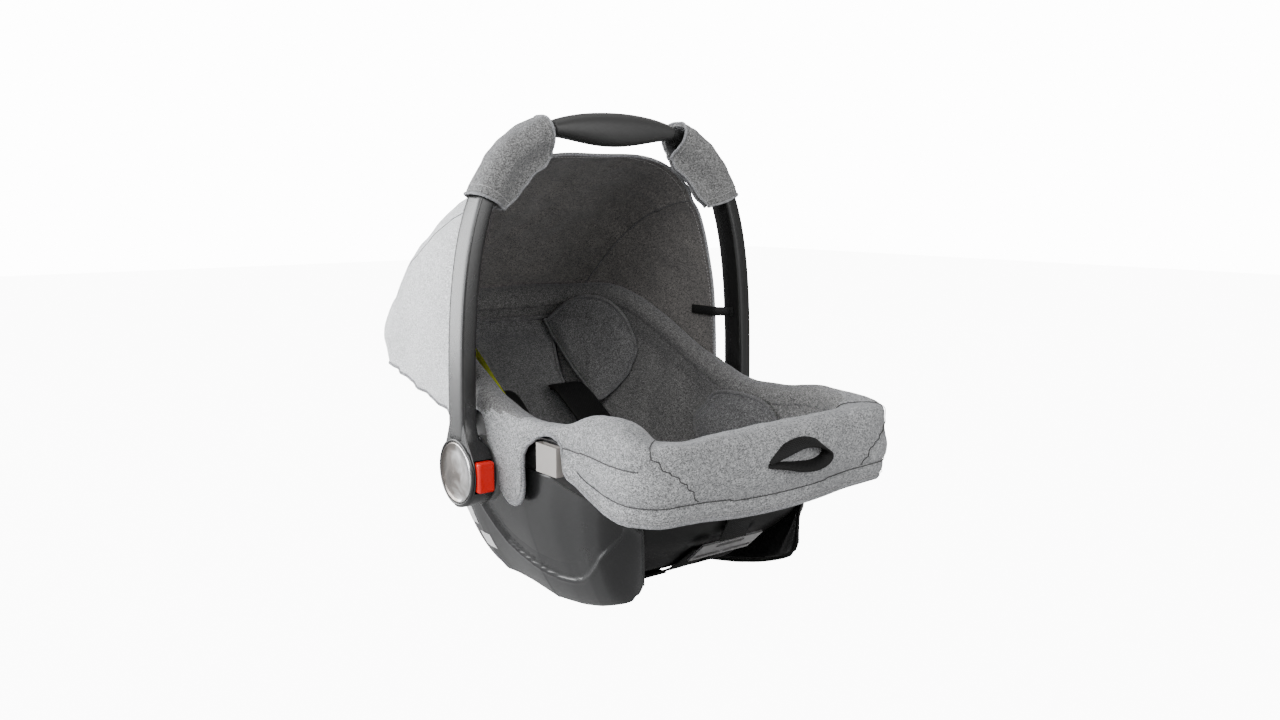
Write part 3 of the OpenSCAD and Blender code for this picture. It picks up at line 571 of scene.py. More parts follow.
# the floor is as white as the studio to look at, apart from a soft contact shadow
floor_glow = node(floor_tree, "Emission", {"Color": (1.0, 1.0, 1.0, 1.0), "Strength": STUDIO_WHITE})
floor_seen = node(floor_tree, "LightPath").outputs["Is Camera Ray"]
floor_share = node(floor_tree, "MapRange", {"Value": floor_seen, "To Max": 0.8}).outputs[0]
floor_mix = node(
    floor_tree, "MixShader", {0: floor_share, 1: floor_shader.outputs[0], 2: floor_glow.outputs[0]}
)
floor_tree.links.new(floor_mix.outputs[0], floor_tree.nodes["Material Output"].inputs[0])
floor_mesh = bpy.data.meshes.new("floor")
reach = 6.0
floor_mesh.from_pydata(
    [(-reach, -reach, 0), (reach, -reach, 0), (reach, reach, 0), (-reach, reach, 0)], [], [(0, 1, 2, 3)]
)
floor_mesh.materials.append(floor_mat)
floor = bpy.data.objects.new("floor", floor_mesh)
bpy.context.scene.collection.objects.link(floor)


# ---------------------------------------------------------------- driving sizes
hub_low, hub_high = box_mm("right_hub_housing")
cap_low, cap_high = box_mm("right_hub_cap")
PIVOT_Y = (cap_low[1] + cap_high[1]) / 2
PIVOT_Z = (cap_low[2] + cap_high[2]) / 2
CAP_R = (cap_high[2] - cap_low[2]) / 2
HUB_R = (hub_high[1] - hub_low[1]) / 2
HUB_IN, HUB_OUT = hub_low[0], hub_high[0]
ARCH_W, ARCH_H, ARCH_POWER = 209.0, 388.5, 3.5
SHELL_T, LINER_AT, LINER_T, INSERT_AT = 4.0, 12.0, 9.0, 21.5

# From the rim (0) to the flat bottom (1): t, front y, front z, rear y, rear z, half width, side z.
BUCKET = np.array(
    [
        (0.00, -317.5, 220, 286, 325, 176, 217),
        (0.14, -319.5, 178, 302, 285, 178, 188),
        (0.22, -312, 152, 299, 262, 173, 172),
        (0.28, -275, 143, 291, 240, 162, 156),
        (0.45, -245, 98, 246, 182, 146, 108),
        (0.63, -200, 56, 166, 102, 119, 62),
        (0.82, -140, 27, 88, 40, 86, 29),
        (1.00, -80, 16, 30, 16, 56, 16),
    ],
    float,
)


def bucket_at(a, t):
    """A point of the bucket's outer surface: a in degrees, 0 at the right side, 90 at the head."""
    a, t = np.broadcast_arrays(np.asarray(a, float), np.asarray(t, float))
    y0, z0, y1, z1, half, side_z = (np.interp(t, BUCKET[:, 0], BUCKET[:, k]) for k in range(1, 7))
    c, s = np.cos(np.radians(a)), np.sin(np.radians(a))
    p = np.where(s < 0, 5.0, 3.2)
    r = (np.abs(c) ** p + np.abs(s) ** p) ** (-1 / p)
    k = (1 + s * r) / 2
    x = half * (1 - 0.07 * smooth((k - 0.45) / 0.5)) * c * r
    z = np.where(
        k < 0.35, mix(side_z, z0, smooth((0.35 - k) / 0.3)), mix(side_z, z1, smooth((k - 0.35) / 0.5))
    )
    z = z - 7 * smooth((k - 0.84) / 0.16) * np.maximum(0, 1 - t / 0.14)
    return np.stack([x, mix(y0, y1, k), z], axis=-1)


def bucket_normal(a, t):
    a, t = np.broadcast_arrays(np.asarray(a, float), np.asarray(t, float))
    along = bucket_at(a + 1.5, t) - bucket_at(a - 1.5, t)
    down = bucket_at(a, np.minimum(1, t + 0.03)) - bucket_at(a, np.maximum(0, t - 0.03))
    return unit(np.cross(along, down))


def bucket_in(a, t, d):
    """The same point moved in, towards the occupant, by d."""
    return bucket_at(a, t) + bucket_normal(a, t) * np.asarray(d, float)[..., None]


def arch_at(b):
    b = np.radians(np.asarray(b, float))
    c, s = np.cos(b), np.sin(b)
    r = (np.abs(c) ** ARCH_POWER + np.abs(s) ** ARCH_POWER) ** (-1 / ARCH_POWER)
    return np.stack([ARCH_W * c * r, np.full_like(r, PIVOT_Y), PIVOT_Z + ARCH_H * s * r], axis=-1)


def arch_out(b):
    d = unit(arch_at(np.asarray(b) + 0.5) - arch_at(np.asarray(b) - 0.5))
    return np.stack([d[..., 2], np.zeros_like(d[..., 0]), -d[..., 0]], axis=-1)


# ---------------------------------------------------------------- handle
GRIP_T, CAD_GRIP_T = 40.0, 32.0
GRIP_HALF = 82.0
LEG_FROM = 34.0


def arch_sections(b, thick, deep, square, sides=40):
    """Sections of the arch: outwards from the hub axis is +u, along Y is v."""
    q = np.arange(sides) * 2 * math.pi / sides
    centre, out = arch_at(b), arch_out(b)
    u = spow(np.cos(q)[None, :], square[:, None]) * thick[:, None] / 2
    v = spow(np.sin(q)[None, :], square[:, None]) * deep[:, None] / 2
    y = np.array([0.0, 1.0, 0.0])
    return centre[:, None] + out[:, None] * u[..., None] + y * v[..., None]


def build_handle():
    b = np.linspace(-2, 182, 220)
    off = np.abs(90 - b)
    thick = mix(15.0, 20.0, smooth((off - 24) / 24))
    deep = mix(26.0, 34.0, smooth((off - 24) / 30))
    square = mix(0.85, 0.34, smooth((off - 20) / 25))
    keep = arch_at(b)[:, 2] > PIVOT_Z + LEG_FROM
    b, thick, deep, square = b[keep], thick[keep], deep[keep], square[keep]
    g = arch_sections(b, thick, deep, square)
    grid("handle_arch", g, HANDLE, "handle", wrap_cols=True, caps=True, replaces=["handle_frame"])
    grip_start = 90 - math.degrees(math.atan(GRIP_HALF / ARCH_W))
    b = np.linspace(grip_start - 1.5, 181.5 - grip_start, 90)
    k = np.clip(np.cos(np.pi / 2 * np.minimum(1, np.abs(90 - b) / (90 - grip_start + 2))), 0, 1) ** 0.9
    g = arch_sections(b, mix(16.5, GRIP_T, k), mix(27.5, 37.0, k), np.full_like(b, 0.82))
    g = g - arch_out(b)[:, None] * (k * (GRIP_T - CAD_GRIP_T) / 2)[:, None, None]
    grid("grip", g, GRIP, "handle", wrap_cols=True, caps=True, replaces=["handle_grip"])


# Folded cloth wrap of a handle corner, drawn at the right side: distance out from the arch's
# centre line, and half depth along Y.
WRAP = [
    (-39, 3.5), (-34, 5.2), (-28, 6.4), (-22.5, 9.5), (-17, 14), (-9, 20), (0, 21.6), (7, 20.6), (13, 16),
    (15.8, 8), (16.4, 0)
]


WRAP_FROM, WRAP_TO, WRAP_T, FLAP = 42.5, 64.7, 4.0, -20


def build_wrap(side, name):
    b = np.linspace(WRAP_FROM, WRAP_TO, 44)
    half = curve([(u, v, 0) for u, v in WRAP], 4)[:, :2]
    half[-1, 1] = 0
    line = np.concatenate([half * [1, -1], half[::-1][1:] * [1, 1]])
    # 4 mm thick towards the arch, and thinner where the two flaps meet
    d = np.gradient(line, axis=0)
    normal = np.stack([d[:, 1], -d[:, 0]], axis=1)
    normal /= np.maximum(np.linalg.norm(normal, axis=1, keepdims=True), 1e-9)
    inner = line - normal * WRAP_T * np.where(line[:, :1] < -31, 0.6, 1.0)
    y = np.array([0.0, 1.0, 0.0])

    def wrap(shape):
        centre, out = arch_at(b), arch_out(b)
        ends = np.minimum(b - b[0], b[-1] - b)[:, None] / (b[-1] - b[0])
        # the flap is rounded at its two corners
        u = shape[None, :, 0]
        reach = np.where(u < FLAP, 1 - 0.5 * bell(ends, 0.11), 1.0)
        u = np.where(u < FLAP, FLAP + (u - FLAP) * reach, u)
        v = np.broadcast_to(shape[None, :, 1], u.shape)
        return centre[:, None] + out[:, None] * u[..., None] + y * v[..., None]

    outer, lining = wrap(line), wrap(inner)
    n = normals_of(outer)
    fold = wrinkle(outer, 26, 2.4, seed=3.1 + side) + wrinkle(outer, 11, 0.8, seed=9.0 + side)
    outer = outer + n * fold[..., None]
    if side < 0:
        outer, lining = mirror_x(outer), mirror_x(lining)
    obj = slab(
        name, outer, lining, PAD, "handle", flip=side < 0, replaces=[name.replace("_wrap", "")], sub=1
    )
    # binding round the edges, and a stitched line 5 mm inside it
    edge = np.concatenate([outer[:, 0], outer[-1, 1:], outer[::-1, -1][1:], outer[0, ::-1][1:-1]])
    tube(name + "_binding", edge, 1.6, BINDING, "handle", sides=8, closed=True)
    n = normals_of(outer)
    lift = outer + n * 0.25
    inset = 3
    lines = [lift[inset:-inset, 2], lift[inset:-inset, -3], lift[inset, 2:-2], lift[-inset - 1, 2:-2]]
    tubes(
        name + "_stitches", [d for path in lines for d in dashes(path, 3.0, 1.4)], 0.42, THREAD, "handle"
    )


# ---------------------------------------------------------------- hubs
BUTTON_GAP, BUTTON_BACK, BUTTON_ROOM, HUB_TOP = 1.2, 33.0, 7.0, 78.0


def build_hub(side, name):
    """Barrel and leg root as one moulding, with the cap's recess and the button's window."""
    angle = np.linspace(3, 118, 60)
    z = -HUB_R * np.cos(np.radians(angle))
    z = np.concatenate([z, np.linspace(z[-1] + 2.0, HUB_TOP, 26)])
    circle = np.sqrt(np.maximum(HUB_R**2 - z**2, 1e-6))
    leg = 17.0 + 9.0 * bell(np.maximum(z - 30, 0), 16) * (z > 30) + 9.0 * (z <= 30)
    half = np.where(z < 12, circle, np.maximum(leg, circle))
    soft = np.convolve(np.pad(half, 4, mode="edge"), np.ones(9) / 9, mode="valid")
    half = np.where((z > 5) & (z < 60), soft, half)
    inner = mix(HUB_IN, 199.5, smooth((z - 26) / 16))
    outer = np.full_like(z, HUB_OUT)
    q = np.arange(48) * 2 * math.pi / 48
    square = 0.22 + 0.2 * smooth((z - 30) / 40)
    across = spow(np.cos(q)[None, :], square[:, None])
    x = ((outer + inner) / 2)[:, None] + across * ((outer - inner) / 2)[:, None]
    y = PIVOT_Y + spow(np.sin(q)[None, :], 0.9 * square[:, None] + 0.1) * half[:, None]
    g = np.stack([x, y, np.broadcast_to((PIVOT_Z + z)[:, None], x.shape)], axis=-1)
    if side < 0:
        g = mirror_x(g)
    obj = grid(
        name + "_moulding", g, HANDLE, "handle", wrap_cols=True, caps=True, flip=side < 0,
        replaces=[name + "_housing"]
    )
    (x0, y0, z0), (x1, _, z1) = box_mm(name.replace("hub", "release_button"))
    y0, y1 = y0 - 10, PIVOT_Y - BUTTON_BACK + BUTTON_ROOM
    x0, x1, z0, z1 = x0 - BUTTON_GAP, x1 + BUTTON_GAP, z0 - BUTTON_GAP, z1 + BUTTON_GAP
    tool_mesh = bpy.data.meshes.new("cut")
    corners = [(x, y, z) for x in (x0, x1) for y in (y0, y1) for z in (z0, z1)]
    tool_mesh.from_pydata(
        (np.array(corners) * MM).tolist(), [],
        [(0, 1, 3, 2), (4, 6, 7, 5), (0, 4, 5, 1), (2, 3, 7, 6), (0, 2, 6, 4), (1, 5, 7, 3)]
    )
    tool = bpy.data.objects.new("cut", tool_mesh)
    bpy.context.scene.collection.objects.link(tool)
    modifier = obj.modifiers.new("window", "BOOLEAN")
    modifier.object = tool
    modifier.solver = "EXACT"
    settle(obj)
    bpy.data.objects.remove(tool)
    # ring and disc of the cap
    r = np.array([CAP_R + 3.6, CAP_R + 3.2, CAP_R + 1.6, CAP_R + 0.4, CAP_R])
    lift = np.array([HUB_OUT - 1.0, HUB_OUT + 1.0, HUB_OUT + 1.5, HUB_OUT + 0.8, HUB_OUT - 1.5])
    around = np.arange(96) * 2 * math.pi / 96

    def turned(radius, height):
        radius, height = np.asarray(radius, float), np.asarray(height, float)
        return np.stack(
            [
                np.broadcast_to(side * height[:, None], (len(radius), len(around))),
                PIVOT_Y + radius[:, None] * np.cos(around), PIVOT_Z + radius[:, None] * np.sin(around)
            ],
            axis=-1
        )

    grid(name + "_ring", turned(r, lift), HANDLE, "handle", wrap_cols=True, flip=side < 0)
    r = np.array([CAP_R - 0.3, CAP_R - 0.4, CAP_R - 1.4, CAP_R - 2.4, CAP_R - 3.2, 24, 16, 8, 0.3])
    lift = HUB_OUT + np.array([-1.5, 0.9, 1.7, 1.6, 1.0, 1.35, 1.75, 2.0, 2.1])
    grid(
        name + "_disc", turned(r, lift), CHROME, "handle", wrap_cols=True,
        flip=side < 0, replaces=[name + "_cap"]
    )


def rounded_box(low, high, radius):
    """Sections along Y of a box with round edges, softened at its front end."""
    (x0, y0, z0), (x1, y1, z1) = low, high
    cx, cz, hx, hz = (x0 + x1) / 2, (z0 + z1) / 2, (x1 - x0) / 2, (z1 - z0) / 2
    rows = []
    for y, inset in [
        (y0, radius * 1.0), (y0, radius * 0.6), (y0 + radius * 0.25, radius * 0.22), (y0 + radius, 0),
        (y1 - radius, 0), (y1, 0)
    ]:
        ring = []
        for corner in range(4):
            sx, sz = ((1, 1), (-1, 1), (-1, -1), (1, -1))[corner]
            for k in range(5):
                q = math.radians(90 * corner + 90 * k / 4)
                ring.append(
                    (
                        cx + sx * (hx - radius) + (radius - inset) * math.cos(q), y,
                        cz + sz * (hz - radius) + (radius - inset) * math.sin(q)
                    )
                )
        rows.append(ring)
    return np.array(rows)


def build_button(name):
    low, high = box_mm(name)
    g = rounded_box(low, (high[0], PIVOT_Y - BUTTON_BACK, high[2]), 3.2)
    centre = (low[2] + high[2]) / 2
    face = np.abs(g[..., 1] - low[1]) < 1.0
    dip = 1.6 * (1 - ((g[..., 2] - centre) / ((high[2] - low[2]) / 2)) ** 2)
    g[..., 1] += np.where(face, dip, 0)
    body = name.replace("_release", "")
    grid(name + "_key", g, RED, body, wrap_cols=True, caps=True, flip=True, replaces=[name])


# ---------------------------------------------------------------- shell and rocker panels
def cup(a, rows, outside, inside, relief=None):
    """Closed grid of a bucket layer: down its outer face, across the bottom, up its inner face."""
    down = np.stack([bucket_in(a, t, outside) for t in rows])
    up = np.stack([bucket_in(a, t, inside) for t in rows])
    if relief is not None:
        n = np.stack([bucket_normal(a, t) for t in rows])
        down = down - n * relief[0][..., None]
        up = up + n * relief[1][..., None]
    floor_rows = []
    for layer in (down, up):
        centre = layer[-1].mean(0)
        centre[2] = layer[-1][:, 2].mean()
        floor_rows.append(np.stack([mix(layer[-1], centre, k) for k in (0.35, 0.7, 0.98)]))
    return np.concatenate([down, floor_rows[0], floor_rows[1][::-1], up[::-1]])


def build_shell():
    a = np.arange(200) * 360 / 200
    rows = np.concatenate([np.linspace(0.0, 0.3, 12), np.linspace(0.34, 1, 34)])
    # moulded ribs down the back and a shallow step round the bottom
    t = rows[:, None]
    back = bell((a[None, :] - 90 + 180) % 360 - 180, 42, 4)
    ribs = np.zeros((len(rows), len(a)))
    for at in (70, 80, 100, 110):
        ribs += bell((a[None, :] - at + 180) % 360 - 180, 1.6) * 1.8
    ribs *= smooth((t - 0.34) / 0.05) * smooth((0.9 - t) / 0.05)
    step = 1.2 * smooth((t - 0.52) / 0.02)
    g = cup(a, rows, 0.0, SHELL_T - 0.6, (ribs - step * (1 - back), np.zeros_like(ribs)))
    grid("shell_moulding", g, SHELL, "shell", wrap_rows=True, wrap_cols=True, replaces=["seat_shell"])


PANEL_BOTTOM = [
    (-238, 62), (-234, 48), (-222, 37), (-205, 30), (-177, 20), (-138, 10), (-100, 3.5), (-78, 0),
    (34, 0), (48, 5), (62, 14), (72, 28), (76, 44), (77, 60)
]
PANEL_TOP = [(-262, 134), (-240, 145), (-220, 155), (-200, 163), (-180, 168), (50, 168), (68, 160)]
PANEL_TOP_W = [
    (-262, 139), (-240, 154), (-220, 162), (-200, 168), (-150, 175), (-90, 178), (20, 178), (68, 172)
]
PANEL_FOOT_W = [
    (-238, 118), (-177, 124), (-138, 121), (-100, 118), (-60, 114), (-10, 109), (34, 109), (62, 118),
    (77, 126)
]


# the ridge round the panel's face, as y and z
RIDGE = [
    (-262, 172), (-247, 150), (-240, 137), (-229, 115), (-216, 95), (-202, 78), (-184, 61), (-168, 51),
    (-150, 45), (-125, 41), (-100, 41), (-74, 44), (-46, 51), (-26, 60), (-12, 76), (2, 97), (16, 130),
    (24, 172), (80, 200)
]


def softened(x, table, column=1, width=7.0):
    """Linear table rounded over a short width, so that no crease shows."""
    return sum(lookup(x + o * width, table, column) * w for o, w in ((-1, 0.25), (0, 0.5), (1, 0.25)))


def panel_grid(inset, relief):
    u = np.linspace(0, 1, 130)
    v = np.concatenate([np.linspace(0, 0.9, 52), np.linspace(0.915, 1, 12)])
    y_top, y_bot = mix(-262, 68, u), mix(-238, 77, u)
    zt, wt = softened(y_top, PANEL_TOP), softened(y_top, PANEL_TOP_W) - inset
    zb, wb = softened(y_bot, PANEL_BOTTOM, 1, 9.0), softened(y_bot, PANEL_FOOT_W, 1, 16.0) - inset
    zb = np.where((y_bot > -84) & (y_bot < 40), 0, zb) + inset * 0.9
    h = 1 - v[None, :]
    upright = smooth((-196 - y_bot) / 42)[:, None]
    x = mix(wb[:, None], wt[:, None], mix(np.sin(np.pi / 2 * h) ** 0.8, h**5, upright))
    y = mix(y_top[:, None], y_bot[:, None], mix(v[None, :], 1 - h**5, upright))
    z = mix(zt[:, None], zb[:, None], v[None, :])
    if relief:
        # the face inside the ridge is set back, and the front third turns inwards
        ridge = lookup(y, RIDGE)
        slope = (lookup(y + 2, RIDGE) - lookup(y - 2, RIDGE)) / 4
        inside = (z - ridge) / np.sqrt(1 + slope**2)
        x = x - 4.0 * smooth(inside / 5.0) - 3.0 * smooth((inside - 4) / 45)
        x = x + 1.1 * bell(inside + 1.0, 1.5)
        ahead = -y - 205 + (z - 60) * 0.30
        x = x - 3.0 * smooth((ahead - 8) / 30) * smooth((150 - z) / 30)
    body = np.stack([x, y, z], axis=-1)
    turn = smooth((y_bot + 236) / 50)
    low = body[:, -1, 0]
    foot = [
        np.stack([low - 3.5 * turn, y_bot, zb], axis=1),
        np.stack([low - (11.5 - 1.6 * inset) * turn, y_bot, zb], axis=1)
    ]
    return np.concatenate([body] + [f[:, None] for f in foot], axis=1)


def build_panel(side, name):
    outer, inner = panel_grid(0.0, True), panel_grid(4.0, False)
    if side < 0:
        outer, inner = mirror_x(outer), mirror_x(inner)
    slab(name + "_moulding", outer, inner, PANEL, "shell", flip=side > 0, replaces=[name])
    # thin rounded lip along the front edge
    tube(name + "_front_lip", outer[0, 2:-6] - [side * 0.6, 0.2, 0], 1.3, PANEL, "shell", sides=8)


def build_label(name, side, y_range, z_range, value, tint):
    """Blank label lying on a rocker panel."""
    outer = panel_grid(0.0, True)
    if side < 0:
        outer = mirror_x(outer)
    pts = outer.reshape(-1, 3)
    ys, zs = np.linspace(*y_range, 12), np.linspace(*z_range, 8)
    g = np.empty((len(ys), len(zs), 3))
    for i, y in enumerate(ys):
        for j, z in enumerate(zs):
            d = (pts[:, 1] - y) ** 2 + (pts[:, 2] - z) ** 2
            near = np.argsort(d)[:4]
            w = 1 / (d[near] + 0.5)
            g[i, j] = ((pts[near, 0] * w).sum() / w.sum() + side * 0.35, y, z)
    mat = moulded(name + "_paper", value, tint=tint, rough=0.3, grain=0.05)
    grid(name, g, mat, "shell", flip=side < 0)


# ---------------------------------------------------------------- rim cover
COVER_OUT = 8.6
SKIRT_ROWS = 26
COVER_EDGE = [
    (-330, 152), (-300, 150), (-280, 151), (-257, 156), (-232, 165), (-213, 174), (-200, 178),
    (-194.5, 184), (-191, 196), (-187, 208), (-181, 215), (-172, 218), (-160, 218), (-147, 214),
    (-134, 207), (-124, 199), (-118.5, 188), (-116, 172), (-114, 152), (-110, 139), (-102, 130),
    (-92, 125.5), (-81, 125.5), (-72, 130), (-64, 138), (-56, 150), (-50, 168), (-46, 187), (-42, 205),
    (-36, 217), (-25, 222), (20, 230), (60, 236), (120, 252), (200, 262), (320, 266)
]


def corner_padding(a):
    """Extra padding that squares the two front corners."""
    return 27 * bell(np.abs(a - 270) - 42, 8)


def cover_columns():
    """Angles round the rim, packed close where the cover's edge is steep."""
    base = []
    a = 0.0
    while a < 360:
        base.append(a)
        y = bucket_at(a, 0.14)[1]
        steep = -255 < y < -50
        a += 0.42 if steep else 1.5
    return np.array(base)


def cover_edge_z(a):
    p = bucket_at(a, 0.14)
    z = lookup(p[:, 1], COVER_EDGE)
    front = 140 + 15 * (np.abs(p[:, 0]) / 150) ** 2
    return mix(z, front, smooth((-300 - p[:, 1]) / 12))


def cover_skin(a, z):
    """Outer skin of the cover at a height: on the bucket down to its widest, then hanging."""
    a, z = np.broadcast_arrays(a, z)
    out = -COVER_OUT - corner_padding(a)
    top, wide = bucket_in(a, 0.0, out), bucket_in(a, 0.14, out)
    k = np.clip((top[..., 2] - z) / (top[..., 2] - wide[..., 2]), 0, 1)
    p = bucket_in(a, 0.14 * k, out)
    low = np.maximum(wide[..., 2] - z, 0)
    n = bucket_normal(a, np.full_like(a, 0.14))
    n[..., 2] = 0
    n = unit(n)
    front = smooth((-290 - wide[..., 1]) / 20)
    p = p + n * (low * mix(0.10, 0.32, front))[..., None]
    p[..., 2] = z
    return p


def cover_grid(a):
    edge = cover_edge_z(a)
    top = bucket_at(a, np.zeros_like(a))
    skirt = [cover_skin(a, mix(edge, top[:, 2] - 2, k)) for k in np.linspace(0, 1, SKIRT_ROWS)]
    up = np.array([0.0, 0.0, 1.0])
    crest = []
    # how much each side wall of the roll stands up: a loose fold near the front on the left
    side, y = np.sign(top[:, 0]), top[:, 1]
    wall = smooth((np.abs(top[:, 0]) - 120) / 40) * smooth((230 + np.abs(y)) / 40)
    loose = np.where(
        side < 0, 15 * np.exp(-(np.abs((y + 243) / 42) ** 3)) - 5 * bell(y + 140, 40),
        8 * np.exp(-(np.abs((y + 232) / 52) ** 3))
    ) * wall
    bar = -6 * bell(top[:, 0] + 118, 50) * smooth((-270 - y) / 25)
    for d, lift in (
        (-8.3, 3.0), (-6.2, 7.0), (-2.0, 9.6), (4.0, 10.6), (10.0, 10.0), (15.5, 7.8), (19.5, 4.5),
        (21.5, 1.0), (22.0, -4.0), (22.2, -9.0)
    ):
        share = smooth((d + 9) / 13) * smooth((26 - d) / 6)
        reach = d - corner_padding(a) * smooth((12 - d) / 18)
        crest.append(bucket_in(a, np.zeros_like(a), reach) + up * (lift + (loose + bar) * share)[:, None])
    return np.stack(skirt + crest)


SEAM_COLUMNS = (228.0, 312.0)
# on the left the lining takes over at these rows of the roll, and above these heights
LINING_FROM = [(-330, 5.5), (-160, 5.5), (-120, 3.5), (-20, 1.5), (320, 1.5)]
LINING_OVER = [(-112, 223), (-66, 225), (-33, 226), (0, 228), (40, 232), (330, 262)]


def build_cover():
    a = cover_columns()
    g = cover_grid(a)
    edge = cover_edge_z(a)
    rows, cols = g.shape[:2]
    # seams, as rows of points on the skin
    seams = []
    low_seam = np.where((a > 214) & (a < 326))[0]
    seams.append(
        cover_skin(a[low_seam], edge[low_seam] + 19.5 - 6 * smooth((np.abs(a[low_seam] - 270) - 46) / 10))
    )
    for column in SEAM_COLUMNS:
        # leans towards the middle of the bar on its way down
        line = []
        for row in range(8, rows - 2):
            lean = 9.5 * smooth((SKIRT_ROWS + 4 - row) / 26) * np.sign(270 - column)
            line.append([np.interp(column + lean, a, g[row, :, k]) for k in range(3)])
        seams.append(np.array(line))
    for low, high in ((200.5, 228.0), (312.0, 339.5)):
        pick = np.where((a >= low) & (a <= high))[0]
        seams.append(cover_skin(a[pick], 205 + 2.5 * np.sin(np.linspace(0, math.pi, len(pick)))))
    points = g.reshape(-1, 3)
    near = np.full(len(points), 1e9)
    for s in seams:
        fine = s[:: max(1, len(s) // 60)]
        d = np.sqrt(((points[:, None] - fine[None]) ** 2).sum(-1)).min(1)
        near = np.minimum(near, d)
    near = near.reshape(rows, cols)
    hem = np.minimum(1, np.arange(rows)[:, None] / 3.0) * np.minimum(
        1, (rows - 1 - np.arange(rows)[:, None]) / 4.0
    )
    n = -np.cross(np.roll(g, -1, 1) - np.roll(g, 1, 1), np.gradient(g, axis=0))
    n = unit(n)
    n = n * np.sign(((g - g.mean(axis=(0, 1))) * n).sum(-1).mean())
    puff = 2.6 * smooth(near / 22) * hem - 1.6 * bell(near, 2.6)
    fold = wrinkle(g, 38, 2.2, seed=1.7) * hem + wrinkle(g, 15, 0.7, seed=5.2) * hem
    # held flat where the canopy's sides hang over it
    held = smooth((g[..., 1] - PIVOT_Y - 5) / 25) * smooth((np.abs(g[..., 0]) - 120) / 30)
    held = held * (np.arange(rows) < SKIRT_ROWS + 3)[:, None]
    g = g + n * ((puff + fold * smooth(near / 12)) * (1 - held) - 2.0 * held)[..., None]
    obj = grid("rim_cover_fabric", g, COVER, "shell", wrap_cols=True, replaces=["rim_cover"])
    # behind the hubs the roll and everything inside it is made of the dark lining; on the right the crest
    # and inner face take it all along the rim as painted shade, for the light cover in shadow
    obj.data.materials.append(LINING_AND_SHADE)
    for polygon in obj.data.polygons:
        row, column = divmod(polygon.index, cols)
        x, y, z = g[row, column]
        past = row - SKIRT_ROWS
        # on the right the lining from row 1.5 of the roll (4.5 at the front) is painted shade for the
        # light cover's crest in shadow
        turned = lookup(y, LINING_FROM) if x < 0 else mix(1.5, 4.5, smooth((-250 - y) / 40))
        if past > turned or (y > -112 and z > lookup(y, LINING_OVER)):
            polygon.material_index = 1
    pins = np.maximum(np.maximum(bell(near, 5), 1 - hem), held)
    cloth(obj, np.clip(pins, 0, 1).ravel(), pressure=2.0, cap=3.2, stiff=16, bend=0.8)
    modifier = obj.modifiers.new("thickness", "SOLIDIFY")
    modifier.thickness = 0.0025
    modifier.offset = -1.0
    modifier = obj.modifiers.new("subdivision", "SUBSURF")
    modifier.levels = modifier.render_levels = 1
    settle(obj)
    # binding tape along the lower edge
    tube("rim_cover_binding", g[0] - n[0] * 0.6, 2.3, BINDING, "shell", sides=10, closed=True)
    tubes("rim_cover_hem_stitches", dashes(g[2] + n[2] * 0.8, 2.8, 1.4), 0.4, THREAD, "shell")
    return g, n, [s[:: max(1, len(s) // 80)] for s in seams]


# ---------------------------------------------------------------- liner, insert and pads
def build_liner():
    a = np.arange(220) * 360 / 220
    rows = np.concatenate([np.linspace(0.0, 0.3, 16), np.linspace(0.33, 1, 30)])
    g = np.stack([bucket_in(a, t, LINER_AT + LINER_T) for t in rows])
    n = np.stack([bucket_normal(a, t) for t in rows])
    side = np.abs(np.cos(np.radians(a)))[None, :]
    t = rows[:, None]
    fold = wrinkle(
        g, 60, 6.0, seed=2.0, stretch=(1, 1.6, 0.7)
    ) + wrinkle(g, 24, 2.4, seed=8.0, stretch=(1, 1.5, 0.6))
    fold = fold * smooth((t - 0.03) / 0.12) * (0.4 + 0.6 * side)
    g = g + n * (fold + 2.0 * smooth(t / 0.1))[..., None]
    g[0] = bucket_in(a, np.zeros_like(a), LINER_AT + LINER_T + 0.4) + np.array([0, 0, -3.0])
    centre = g[-1].mean(0)
    g = np.concatenate([g, [mix(g[-1], centre, 0.4), mix(g[-1], centre, 0.98)]])
    obj = grid("seat_liner_fabric", g, LINING_AND_SHADE, "shell", wrap_cols=True, replaces=["seat_liner"])
    modifier = obj.modifiers.new("thickness", "SOLIDIFY")
    modifier.thickness = 0.003
    modifier.offset = -1.0
    settle(obj)


def insert_face(t):
    return mix(INSERT_AT + 12, INSERT_AT + 38, smooth((np.asarray(t) - 0.14) / 0.34))


def build_insert():
    """Infant insert: a padded back that runs down on to the seat."""
    a = np.linspace(50, 130, 60)
    rows = np.linspace(0.10, 0.94, 70)
    face = np.stack([bucket_in(a, t, insert_face(t) - 3) for t in rows])
    back = np.stack([bucket_in(a, t, np.full_like(a, INSERT_AT + 0.5)) for t in rows])
    last_face, last_back = face[-1].copy(), back[-1].copy()
    seat_rows = np.linspace(0.08, 1, 16)
    more_face, more_back = [], []
    for k in seat_rows:
        p = last_face.copy()
        p[:, 1] = mix(last_face[:, 1], -58, k)
        p[:, 2] -= 18 * smooth(k)
        more_face.append(p)
        q = last_back.copy()
        q[:, 1] = mix(last_back[:, 1], -58, k)
        more_back.append(q)
    face, back = np.concatenate([face, more_face]), np.concatenate([back, more_back])
    n = normals_of(face)
    n = n * np.sign(((face - back) * n).sum(-1).mean())
    across = np.linspace(-1, 1, len(a))[None, :]
    down = np.linspace(0, 1, face.shape[0])[:, None]
    crown = 7.0 * (1 - across**4) * smooth(np.minimum(down, 1 - down) / 0.08) - 5.0
    fold = wrinkle(face, 45, 2.6, seed=4.4) + wrinkle(face, 18, 0.9, seed=7.7)
    face = face + n * (crown + fold)[..., None]
    obj = slab("infant_insert_fabric", face, back, INSERT, "shell", replaces=["infant_insert"])
    edge = np.concatenate([face[:, 0], face[-1, 1:], face[::-1, -1][1:], face[0, ::-1][1:-1]])
    tube("infant_insert_piping", edge, 2.2, DARK_BINDING, "shell", sides=8, closed=True)


